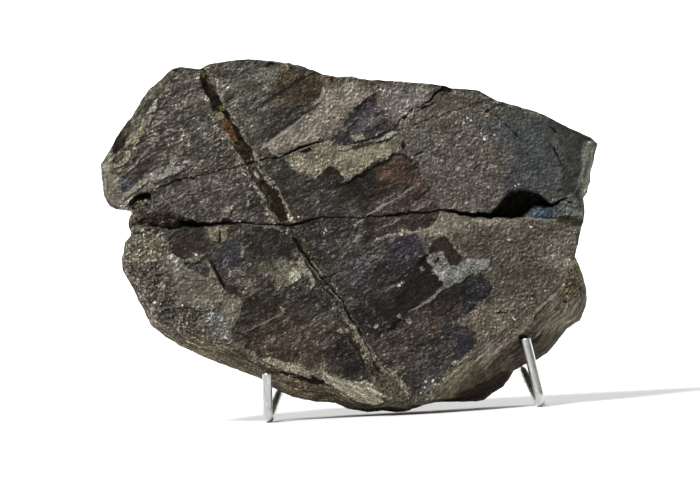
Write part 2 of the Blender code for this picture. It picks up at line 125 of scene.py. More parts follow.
# The rim, clockwise from the left tip: the face's edge, the outline, and its depth in millimetres
RIM = [
    flush(100.2, 164.8, 6), flush(109.8, 149.5, 9), flush(115.5, 138, 10), flush(121.9, 127.8, 10),
    flush(132, 116.3, 10), flush(141, 99.7, 9), flush(150, 88.3, 8), flush(161.4, 78, 7),
    flush(171.6, 69, 5), *(flush(x, y) for x, y in TOP_EDGE),
    (588.0, 139.5, 591.2, 137.6, 5), (591.0, 142.5, 597.9, 143.6, 7), (589.5, 150, 595.5, 152, 9),
    (587.0, 160, 593.6, 163, 10), (584.0, 168.5, 590.6, 172.7, 10), (581.5, 177, 590, 182, 12),
    (578.5, 188, 587.6, 192, 12), (578.0, 198, 584, 198, 11), (579.5, 212, 585, 213, 11),
    (578.0, 222, 583.5, 222, 8), flush(581.5, 228.5), flush(578.6, 243.8), flush(575.4, 256.5, 3, 8),
    (570.5, 262, 580, 267, 22), (566.5, 270, 582.4, 274, 30), (562.5, 281, 586.5, 289, 36),
    (557.0, 291, 587.2, 298, 38), (551.0, 299, 586.0, 307, 39), (544.0, 308, 580.6, 320.7, 40),
    (537.5, 316, 566.6, 329, 41), (531.0, 324, 561, 337.5, 41), (525.5, 331, 547, 353, 42),
    (520.0, 337.5, 535.7, 360.7, 42), (513.0, 342, 524.5, 365, 42), (506.0, 346.5, 514, 370.5, 42),
    (500.0, 353.5, 509.8, 378.2, 42), (493.0, 362, 503.5, 386.6, 42), (486.6, 369.8, 492.2, 393.7, 42),
    (478.0, 378, 483.8, 400, 41), (470.0, 386, 475, 401.6, 38), (459.0, 395, 458.6, 402, 30),
    (441.7, 398.5, 441.7, 402.4, 22), (424.0, 400.5, 423.5, 404.2, 19), (407.0, 398.8, 408, 411.2, 24),
    (395.0, 397.8, 395.4, 412.6, 28), (381.0, 396.3, 382.4, 410.8, 29), (366.0, 386.5, 367, 412.2, 31),
    (349.0, 380, 348.7, 409.4, 32), (333.0, 376, 334.7, 403, 33), (317.0, 374.5, 319.3, 402.4, 34),
    (300.0, 372.5, 303.8, 400.3, 34), (284.0, 370, 291.2, 396.8, 34), (272.0, 366.5, 280, 391.9, 34),
    (254.0, 359, 260.3, 379.3, 33), (240.0, 351, 242, 371.6, 31), (221.0, 341, 221, 364.5, 29),
    (203.0, 336, 204, 357.5, 26), (183.0, 329, 180, 346, 22), (169.0, 321, 165, 337, 20),
    (159.0, 315, 151.2, 325.4, 18), (152.0, 305, 144.8, 312.7, 16), (146.0, 294, 138.5, 300, 14),
    (140.0, 284, 133.4, 288.4, 13), (133.5, 276, 127, 279.5, 12), (128.0, 268, 121.9, 269.3, 11),
    (127.0, 259, 121.3, 259, 10), (129.0, 252.5, 123.4, 252.7, 9), (130.0, 244, 124.4, 242.5, 8),
    (135.0, 237.5, 130.2, 236, 9), (134.5, 232, 130.6, 232.3, 12), (132.5, 226.5, 128.3, 227.2, 14),
    (132.5, 220.5, 128.3, 220.8, 14), (134.5, 213.5, 130.6, 213.2, 14), (131.5, 205, 128.3, 209.6, 12),
    (118.0, 203.5, 115.5, 209.3, 7), (112.5, 201, 109, 206, 6), flush(104, 196.6, 5), flush(101.5, 180, 5),
]

# Cracks: points with half width in pixels and depth in millimetres
MAIN_CRACK = [
    (179, 222.8, 1.3, 3), (196, 223.6, 1.9, 4), (215, 224.4, 1.4, 4), (228, 223.7, .8, 3),
    (243, 222.6, .5, 1.4), (262, 224.5, .5, 1.4), (285, 225, .6, 1.6), (301, 223.5, .9, 2.4),
    (309.6, 220.8, .9, 2.4), (322, 218, .5, 1.4), (344, 218, .4, 1.2), (362, 218.2, .4, 1.2),
    (376, 216, .5, 1.4), (399, 214.8, 1.0, 2.4), (416, 212.4, .9, 2.2), (442, 210.6, .5, 1.6),
    (456, 211.6, 1.5, 4), (471.4, 215.6, 2.2, 6), (490, 215.6, 2.2, 8),
]
UPPER_CRACK = [
    (150, 190, .4, .8), (161, 187.3, .5, 1), (177, 181.2, .5, 1.1), (189.7, 177.3, .3, .8),
    (211, 173.6, .2, .4), (226.5, 169, .3, .6), (243, 166, .4, .9), (254.5, 162, .5, 1.1),
    (267, 158.8, .5, 1.1), (280, 156.3, .6, 1.2), (290, 152, .7, 1.4), (302, 147.8, 1.2, 2.4),
    (311, 144.5, .9, 1.8), (331, 137.5, .2, .5),
]
TOP_CRACK = [
    (392, 130, .2, .6), (399, 123, .3, .8), (405, 116.5, .15, .6), (412, 110.5, .3, .8), (420, 107.5, .2, .8),
    (428, 101.4, .4, 1.2), (434.5, 95, .5, 1.4), (441, 90.5, 1.2, 2.2), (447, 86, 2.4, 3.2),
]
LEAF_CRACK = [
    (293, 236, 1, .8), (301, 247.5, 1.3, 1.2), (308, 258, .8, 1.2), (318, 274.5, .4, 1), (327, 283.5, .4, .8),
    (338, 296.5, .55, 1), (346, 308, .7, 1.2), (352, 318, .6, 1), (360, 331, .4, .8), (366, 342, .3, .6),
    (371, 352, .2, .4),
]
BOTTOM_SLOT = [
    (280, 370, .8, 2), (287, 372.6, 1.5, 4), (300, 378, 1.6, 4), (312, 382.6, 1.8, 4.5), (321.5, 382, 2.2, 4),
]
PIT_CORNER = [(545, 203.6, 1.4, 3), (551, 205, 1.6, 3), (557, 202, 1.2, 2), (566, 197.6, .8, 1.2)]
CRACKS = (MAIN_CRACK, UPPER_CRACK, TOP_CRACK, LEAF_CRACK, BOTTOM_SLOT, PIT_CORNER)
CRACK_WAVES = ((0.4, 6, 37),)
CRACK_WALL = (1.15, 0.2)
CRACK_EDGE = 1.2
# How far painted shade fills a crack, in its half widths
CRACK_SHADE = 1.05
CRACK_REACH = 6

# The midrib: half width in pixels, and millimetres of groove, or of ridge where negative
MIDRIB = [
    (202, 70, 4, 1.4), (217.5, 106, 5.5, 1.9), (247, 160, 6, 1.9), (282, 219, 5.5, 1.6), (301, 244, 5, -0.5),
    (330, 290, 5, -0.9), (361, 345, 5, -0.9), (378, 372, 5, -0.6), (404, 393, 4, -0.3),
]

# The midrib's ragged edge and floor, and the low banks beside it, as shares of its half width
RIB_EDGE_WAVES = ((0.3, 7, 34),)
RIB_FLOOR_WAVES = ((0.5, 4.5, 38),)
RIB_GROOVE = (1.3, 0.6)
BANK_RISE = 0.5
BANK_INNER = (0.9, 1.2)
BANK_OUTER = (1.9, 1.3)

# Where the midrib's colours fade: dark band, pale band, flecked banks and coarse banks, as shares of its half
# width, and the heights in the picture above which it is dark and flecked with olive
DARK_BAND = (1.25, 0.85)
PALE_BAND = (1.35, 0.9)
FLECKS_INNER = (0.9, 1.1)
FLECKS_OUTER = (2.3, 1.5)
COARSE_BANKS = (2.4, 1.5)
UPPER_RIB = (236, 222)
OLIVE_RIB = (328, 316)

# The midrib's colours, and the outline of the rusty part of its floor
RIB_DARK = (56, 51, 41)
RIB_PALE = (93, 90, 77)
RIB_RUST = (98, 80, 60)
RIB_OLIVE = (58, 56, 40)
BANK_PALE = (148, 141, 124)
RUST = [(221, 118), (228, 119), (238, 134), (242, 143), (236, 146), (228, 138), (223, 129)]

# The leaflets' run, and the runs of the fine marks on the right and on the left of the lower edge
PINNA_ANGLE = math.radians(-28)
PLANED_ANGLE = math.radians(-46)
LOWER_ANGLE = math.radians(26)

# The face's relief: a broad ledge, lumps, flakes of film and of rock, low steps, and the rock's grain
LEDGE = [
    (331, 144), (351, 146), (369, 138), (392, 130), (420, 124), (448, 112), (478.5, 102.4), (494, 97),
]
LEDGE_RISE = 0.9
LEDGE_EDGE = 2
LEDGE_FADE = (60, 20)
LEDGE_LEFT = (320, 335)
LEDGE_RIGHT = (500, 488)
FACE_WAVES = ((0.9, 55, 1), (0.35, 22, 2))
FACE_LIP = 0.25
FILM_FLAKES = ((0.16, (9, 3.0, 101)), (0.1, (4.5, 2.0, 104)))
ROCK_FLAKES = ((0.16, (7, 1.2, 107)), (0.1, (4, 1.2, 110)))
STEP_HEIGHT = 2.0
STEP_EDGE = 0.7
STEP_REACH = 9.0
FILM_DEPTH = 0.5
FILM_EDGE = 0.8
FILM_REACH = 12
FILM_WAVES = ((1.5, 5.5, 41), (1.2, 3.0, 42))
GRAIN_WAVES = ((0.35, 9, 30), (0.28, 5.2, 31), (0.2, 3.2, 32))

# Broken hollows
ARCH = [
    (489, 217), (491.8, 213), (497, 206.8), (502, 199), (509.7, 193.4), (518.6, 190.2), (530, 190.8),
    (540.3, 195.3), (546.7, 201), (551.5, 205), (548, 207.5), (534, 207.5), (524, 217.4), (508, 217.6),
]
ARCH_DEPTH = 15.0
RECESS = [
    (521, 217.3), (534, 205.5), (548, 204), (551.5, 204.5), (558, 199.4), (570, 195.6), (576.4, 189.1),
    (579, 183), (596, 183), (596, 227), (582.4, 226.6), (565.8, 222), (555.8, 219.5), (544, 218.8),
]
RECESS_DEPTH = 6.5
POCKET = [
    (120, 211), (131, 202.5), (138, 194.5), (144, 192.5), (150, 192.8), (151, 210), (163, 213), (179, 213.5),
    (187, 218.5), (201, 223), (204, 227), (185, 227), (176, 229.5), (160, 230), (147, 227.5), (120, 234),
]
POCKET_DEPTH = 8.0
HOLLOWS = ((ARCH, ARCH_DEPTH), (RECESS, RECESS_DEPTH), (POCKET, POCKET_DEPTH))
HOLLOW_WALL = 2.0
HOLLOW_REACH = 8
HOLLOW_WAVES = ((1.2, 12, 3), (1.3, 6, 36), (0.5, 3, 40))

# The bevel at the lower right, which falls from this line
BEVEL_LINE = [(572, 252), (554, 291), (520, 318), (478, 343), (462.8, 362.8), (440, 385), (424, 398)]
BEVEL_FALL = 0.17
BEVEL_FROM_X = (415, 450)
BEVEL_FROM_Y = (238, 262)

# The broken sides and the layered back, in millimetres of depth and pixels across
THICKNESS = 40.0
THICKER_RIGHT = 5.0
THICKER_DOWN = 5.9
LAYER = 3.6
LAYER_RISER = (0.55, 0.95)
LAYER_STEPPED = 0.7
LAYER_SLOPED = 0.3
BACK_WAVES = ((3.6, 110, 11), (1.0, 38, 12))
BACK_LUMPS = ((0.5, 24, 13),)
BACK_GRAIN = ((0.35, 9, 61), (0.25, 4.5, 62))
BACK_INSET = 9.0
END_INSET = 9.0
BOTTOM_INSET = 20.0
INSET_WAVES = ((6.0, 34, 21),)
RIM_INSET = 0.3
RIM_WAVES = ((0.5, 7, 51), (0.35, 3.2, 52))
FLANK_OUT = 0.8
FLANK_DOWN = 1.6
SIDE_IN = 1.7
SIDE_DOWN = 0.8
FLANK_FADE = 3.0
SIDE_FADE = 4.0
SIDE_DEEPER = 3.0
SIDE_SHORT = 1.5
SIDE_LOSS = 1.2
SIDE_HOLLOWS = ((3.4, 30, 24),)
SIDE_WAVES = ((1.3, 14, 22),)
SIDE_GRAIN = ((0.5, 6, 25), (0.35, 3.4, 26))
SIDE_DEPTH_WAVES = ((1.4, 19, 23), (0.5, 7, 27))

# Low steps on the face: points, and how far the side below the line rises, as a share of STEP_HEIGHT
STEPS = [
    [(355, 223, 0), (365, 217.5, .3), (385.5, 205, .45), (396.4, 198.5, .5), (408, 190.5, .5),
     (419, 181.7, 0)],
    [(377, 231, 0), (385.5, 226, .3), (404, 217, .4), (419, 207.2, .4), (431, 199, 0)],
    [(284, 92, 0), (276, 95.3, -.4), (267, 100.5, -.5), (261.4, 104.9, -.4), (256, 109, 0)],
    [(303, 106.5, 0), (295, 110, -.4), (286.9, 115.1, -.5), (279.8, 120.2, -.5), (270.6, 126.3, 0)],
    [(375, 241, 0), (388, 236.5, .25), (402, 231.5, .3), (420, 232, .3), (440, 224, 0)],
    [(335, 188, 0), (353, 177.4, -.5), (364, 171.4, -.6), (385.5, 158.4, -.6), (393, 153.6, -.4),
     (404, 156, 0)],
    [(350, 112, 0), (358, 106.5, -.4), (367, 100.4, -.5), (377, 93.9, 0)],
    [(362, 145.5, 0), (371, 144.8, -.4), (379, 141.6, -.6), (388.5, 138.3, -.4), (396, 134, 0)],
    [(236, 336, 0), (246, 330, .4), (263.5, 323.3, .5), (281, 313, .3), (290, 308, 0)],
    [(412, 312, 0), (420, 307, .3), (432, 299, .5), (450, 285, .5), (468, 277, .4), (484, 274, 0)],
    [(394, 282, 0), (405, 277, -.5), (415.4, 267.9, -.7), (427, 255.3, -.6), (432, 250, 0)],
    [(386, 332, 0), (391, 328.5, -.5), (398, 322.5, -.5), (404, 317, 0)],
    [(213, 262, 0), (214, 267, .5), (217.6, 276.2, .8), (222.2, 284.3, .8), (226, 292, 0)],
    [(113, 167, 0), (122, 160, .3), (131, 153.5, .4), (141, 144, 0)],
    [(121, 188, 0), (137, 182, .4), (152, 173, .4), (166, 163, 0)],
    [(145, 115, 0), (152, 107, .5), (158, 101.5, .5), (168, 86, .4), (173, 76, 0)],
    [(131, 140, 0), (141, 131, .4), (150, 124.5, .4), (162, 117, .3), (184, 105.5, 0)],
    [(162, 206, 0), (168.7, 202, .3), (184.4, 193.6, .4), (192, 192.5, 0)],
    [(268, 362, 0), (290, 367, -.4), (313, 377.5, -.6), (330, 381, 0)],
]

# Drawn lines: half width in pixels, strength, and the line's points
# The dark lines are painted shade along fine cracks and under small steps
SHADOW_LINES = [
    (.6, .9, [(335, 188), (342, 183.6), (353, 177.6), (363.8, 171.2), (374.7, 165.4), (386, 159.6),
     (393, 154.6), (398, 152.8), (404, 153.8), (407.5, 157)]),
    (.5, .7, [(366, 168), (373, 163.6), (381, 160.6)]),
    (.5, .6, [(407.5, 157), (412.5, 161.5), (417.6, 168), (420.4, 175)]),
    (.6, .8, [(412, 166), (417, 163), (419, 165)]),
    (.8, .85, [(354, 109.5), (360, 105.4), (367, 99.8), (376.6, 93.6)]),
    (.9, .95, [(355, 143), (364, 141), (372, 139), (380, 136.4), (386, 134), (392, 131.4), (398, 129.4)]),
    (.6, .8, [(376, 143.4), (382, 141.4), (388.5, 138.6)]),
    (.5, .6, [(345, 144.4), (352, 143.6), (358, 142)]),
    (1.0, .9, [(320, 71.6), (312, 73.4), (305, 76.4), (298, 80.6), (291, 85.6), (284, 91.2), (276, 95.5),
     (268, 100.6), (260, 105.6), (254, 109.6)]),
    (.9, .85, [(303, 106.6), (297, 108.2), (291.5, 112.2), (286, 117), (279, 121.8), (270, 127)]),
    (.8, .9, [(320, 103.4), (314, 107.4), (309.4, 111.6), (303, 113.6)]),
    (.5, .8, [(494.8, 100.4), (487, 101.2), (477, 102.6), (465, 107), (455, 110.6), (440, 115.4),
     (427.6, 119.9)]),
    (.4, .6, [(427.6, 119.9), (412, 125), (398, 129.2)]),
    (.5, .7, [(504, 101.6), (499, 105.4), (491.5, 109.4)]),
    (.5, .6, [(496, 115), (501, 120), (505, 125), (512, 130.4), (516, 136)]),
    (.8, .85, [(549, 126.6), (552, 129.6), (555.4, 133)]),
    (.8, .8, [(549.4, 143.6), (553.6, 149), (558, 155.6), (561.6, 162)]),
    (.4, .5, [(561.6, 162), (563.6, 172), (562, 186), (556, 198)]),
    (.6, .8, [(473, 168.8), (478, 165), (482, 161.6)]),
    (.5, .6, [(515, 168.6), (511, 174.6), (506.6, 180)]),
    (.9, .95, [(428, 254.4), (421, 260.6), (413, 267.4), (405, 274), (397.5, 281), (391, 285)]),
    (.7, .8, [(404.4, 301.6), (395.6, 309), (383.6, 317)]),
    (.6, .7, [(428, 272.5), (418, 279), (409, 285.4)]),
    (.9, .95, [(399.6, 320.6), (394, 326), (387.4, 331)]),
    (.7, .85, [(436, 296.4), (441, 292.6), (448, 288.8), (458, 284.2), (466, 279.4), (474, 275)]),
    (.5, .7, [(438, 310), (446, 304.4), (456, 299.4), (466, 292.6)]),
    (.5, .7, [(440, 316), (452, 307.4), (464, 300.4), (476, 292)]),
    (.4, .6, [(446, 302), (458, 295), (470, 287.6), (482, 281)]),
    (.4, .6, [(394, 252), (404, 246.4), (414, 241)]),
    (.5, .7, [(352, 286), (366, 277.4), (380, 269), (392, 262)]),
    (.4, .6, [(362, 296), (376, 287), (390, 279)]),
    (.4, .6, [(410, 352), (422, 345), (436, 338.4)]),
    (.6, .7, [(491.6, 288), (488, 294.6), (482, 300.4), (475, 306.4), (468, 313), (459, 320)]),
    (1.0, .8, [(248, 331.6), (253, 330), (259, 327.6)]),
    (.9, .7, [(236, 333.4), (242, 334), (250, 336.6)]),
    (.5, .6, [(171, 176.5), (164, 180), (155, 184)]),
    (.6, .6, [(128, 170.6), (121, 174), (113, 174.2)]),
    (.8, .7, [(181, 89.4), (177, 92), (172, 95.6)]),
    (.4, .5, [(233, 97), (222, 104)]),
    (.6, .6, [(204.5, 113), (197, 116.4), (191, 118.6)]),
    (.7, .6, [(303, 331), (304, 337), (301, 343), (297, 348)]),
    (.6, .8, [(498, 312), (503, 313.2), (508, 312.8)]),
    (.6, .8, [(564, 283), (558.4, 293.6), (552, 301.4), (545, 307.4), (537, 315.4), (529, 325.4)]),
    (.5, .5, [(562, 283), (553, 293), (541, 304.4), (528, 313.8), (519, 319.6), (503, 331), (488, 343),
     (476.5, 353), (462, 368.6), (444, 384.6), (433, 394.5)]),
    (.5, .5, [(517, 333), (506, 340.6), (494, 350.8), (482, 361.6), (470, 372)]),
    (.5, .5, [(508, 330), (498, 338.4), (486, 349), (474, 360)]),
    (.6, .7, [(262, 363.6), (275, 369), (282, 371)]),
    (.5, .6, [(328, 372.4), (344, 379), (353.5, 382.4), (362, 383.6), (372, 389)]),
    (.6, .6, [(223, 343), (240, 353), (256, 364)]),
    (.5, .8, [(442, 95.6), (447, 93.4), (452, 91.4)]),
    (.5, .7, [(410, 119), (415, 114.6), (419, 110.6)]),
    (.5, .7, [(396, 128), (398.6, 124.4), (402, 119)]),
    (.5, .5, [(190, 196), (200, 192), (211, 186)]),
    (.4, .45, [(236, 120), (247, 115), (260, 110)]),
    (.5, .7, [(186, 309), (196, 310.4), (206, 311.4), (219, 310.8), (222, 303)]),
    (.8, .6, [(182, 277), (196, 281), (208, 282)]),
    (.6, .8, [(416, 199), (424, 193), (431, 187.6)]),
    (.5, .7, [(548, 218.2), (560, 217.2), (576, 216.4)]),
    (.7, .85, [(305, 261), (312, 271.4), (319, 281.6), (327, 291.6), (333, 299)]),
    (.5, .7, [(340, 303), (346, 313), (352, 323)]),
    (.5, .8, [(343, 329), (349, 337.6), (355, 347), (361, 358), (365, 369)]),
    (.5, .8, [(357, 327), (363, 338), (369, 351), (374, 363), (380, 371)]),
    (.5, .7, [(169, 241), (171.4, 249), (177, 255.6), (185, 260.6)]),
    (.5, .6, [(130, 340), (160, 341), (184, 348)]),
    (.6, .6, [(176, 335), (198, 343), (222, 352), (240, 362)]),
    (.5, .6, [(190, 346), (210, 354), (232, 364), (252, 373)]),
    (.5, .5, [(283, 383), (300, 389), (320, 395)]),
    (.5, .5, [(338, 386), (352, 393), (364, 400)]),
]
# The bright lines are painted highlights on edges that face the light
HIGHLIGHT_LINES = [
    (.5, .9, [(357, 222.8), (364, 218), (370, 213.4), (376, 209.8)]),
    (1.0, .8, [(373, 211.6), (380, 207.6), (388, 203)]),
    (.7, .55, [(388, 203), (396, 199), (402, 195.8), (411, 189.8), (419, 182)]),
    (.4, .5, [(376, 203), (386, 198.4), (396, 193.6)]),
    (.5, .75, [(377, 231), (386, 225.8), (396, 220.8), (401, 217.8)]),
    (.5, .6, [(408, 213.8), (415, 209.6), (422, 205), (430, 199.4)]),
    (.6, .7, [(353, 242.4), (358, 238.6), (363, 235.6)]),
    (.9, .7, [(376, 240.8), (385.5, 237), (395, 233.6)]),
    (.9, .8, [(405, 231.4), (413, 232.8), (422, 231.6), (431, 227), (438, 222)]),
    (1.5, .7, [(323, 90), (321.4, 99), (314, 107.6), (306, 114.6), (298, 119.4), (291, 128), (285, 132),
     (277, 138), (269, 143), (264, 146)]),
    (.6, .7, [(270, 151), (275, 153.6), (280, 156)]),
    (.7, .8, [(151.6, 127), (157, 123), (163, 118.6)]),
    (.5, .6, [(163, 118.6), (172, 113), (182, 106.6)]),
    (.6, .6, [(160, 98), (166, 90), (172, 82)]),
    (.7, .6, [(124, 148), (131, 141.6), (137, 137.4)]),
    (.7, .6, [(137, 150), (145, 143), (150, 138)]),
    (.6, .5, [(141, 159), (146, 152), (152, 147)]),
    (.7, .7, [(150.4, 193), (151.4, 202), (151.6, 212)]),
    (.7, .7, [(171, 201.4), (178, 197), (184, 193.4), (192, 193)]),
    (.6, .6, [(162, 199), (168, 203), (172, 208)]),
    (.6, .85, [(488, 216.6), (500, 217.4), (512, 217.6), (524, 218.2), (540, 218.8), (556, 219.8)]),
    (.6, .6, [(176, 229.4), (172, 232.6), (169.8, 238)]),
    (.5, .45, [(248, 329), (255, 326), (263, 323), (272, 318), (281, 312.6)]),
    (.6, .7, [(409, 312.6), (420, 306), (430, 299)]),
    (.5, .6, [(400, 278.8), (405, 275.6), (410, 271.4)]),
    (.6, .7, [(312, 261), (317, 268), (323, 275.6)]),
    (.5, .7, [(309, 263), (316, 272.4), (322, 280.6)]),
    (.5, .7, [(330, 289.6), (336, 297), (340, 303)]),
    (.6, .8, [(335, 298), (341, 302.6), (345.6, 311)]),
    (.6, .7, [(364, 337), (369, 346), (374, 356)]),
    (.7, .7, [(377, 364), (382, 367.4), (388, 371.6)]),
    (.8, .7, [(203, 91), (206, 95.6), (208.6, 100), (210, 106), (212, 111)]),
    (.7, .7, [(216, 90), (219, 95.6), (222, 101.6), (223, 104)]),
    (.6, .6, [(229, 108), (233, 115), (237, 122)]),
    (1.0, .7, [(233.4, 147), (237.6, 154), (241, 161), (244.6, 166)]),
    (.6, .9, [(258, 166), (261, 171), (264, 176)]),
    (.6, .9, [(253, 152.4), (255, 155.4), (256.6, 157.4)]),
    (.9, .7, [(247, 173), (252, 180.4), (258, 189), (263, 198), (268, 207.4), (275, 216.4), (280, 223)]),
    (.8, .75, [(276, 186), (281, 195), (285, 203.4), (290, 213)]),
    (1.1, .8, [(576.5, 260), (571, 266.5), (567.5, 274), (563.5, 283), (557, 293), (550, 300), (543, 306),
     (537, 311.5)]),
    (.5, .7, [(480, 358.6), (487, 352.4), (495, 345.4)]),
    (.9, .5, [(506, 342), (498, 349), (490, 356), (480, 366)]),
    (.6, .5, [(500, 334), (488, 345), (476, 356), (462, 371), (448, 385)]),
    (.6, .45, [(585.5, 160), (582.6, 168), (579.5, 177), (576.8, 189), (571, 194.6), (558, 199)]),
    (.5, .5, [(252, 350), (257, 357), (263, 362)]),
    (.6, .6, [(200, 343), (206, 348), (214, 351)]),
    (.5, .6, [(334, 380), (346, 388), (360, 398), (370, 404)]),
    (.5, .6, [(340, 378.6), (352, 387), (366, 397)]),
    (.5, .5, [(350, 381), (362, 389), (374, 398)]),
    (.6, .5, [(398, 284), (390, 289), (384, 292)]),
]

# Small bright crystals
CRYSTALS = [
    (508, 239.5), (532, 226.8), (487, 186.2), (515, 186.2), (518, 184.4), (466, 117.8), (456, 122.4),
    (463, 122.2), (470, 119.8), (481, 132.4), (485, 135), (483.6, 138.4), (494.4, 134.6), (326, 229.6),
    (324, 233), (328, 232), (532.8, 299), (545, 291), (525, 304.6), (513.2, 316.8), (514.6, 320), (299, 217),
    (382, 89), (400, 286.2), (247, 288), (252, 296), (231, 273), (183, 306), (196, 255), (226, 338.6),
    (461, 361), (470, 350.6), (427, 380.8), (421, 393), (436, 384), (424, 386.6), (433, 380), (407, 394.6),
    (361.4, 381.6), (252, 160.6), (258, 160.8), (247, 168), (292, 165), (240, 221), (590, 142),
]

# How ragged drawn lines swell, and how far a later chip reaches over an earlier one
LINE_FULL = 1.05
LINE_SWELL = 0.75
CHIP_OVER = 0.4
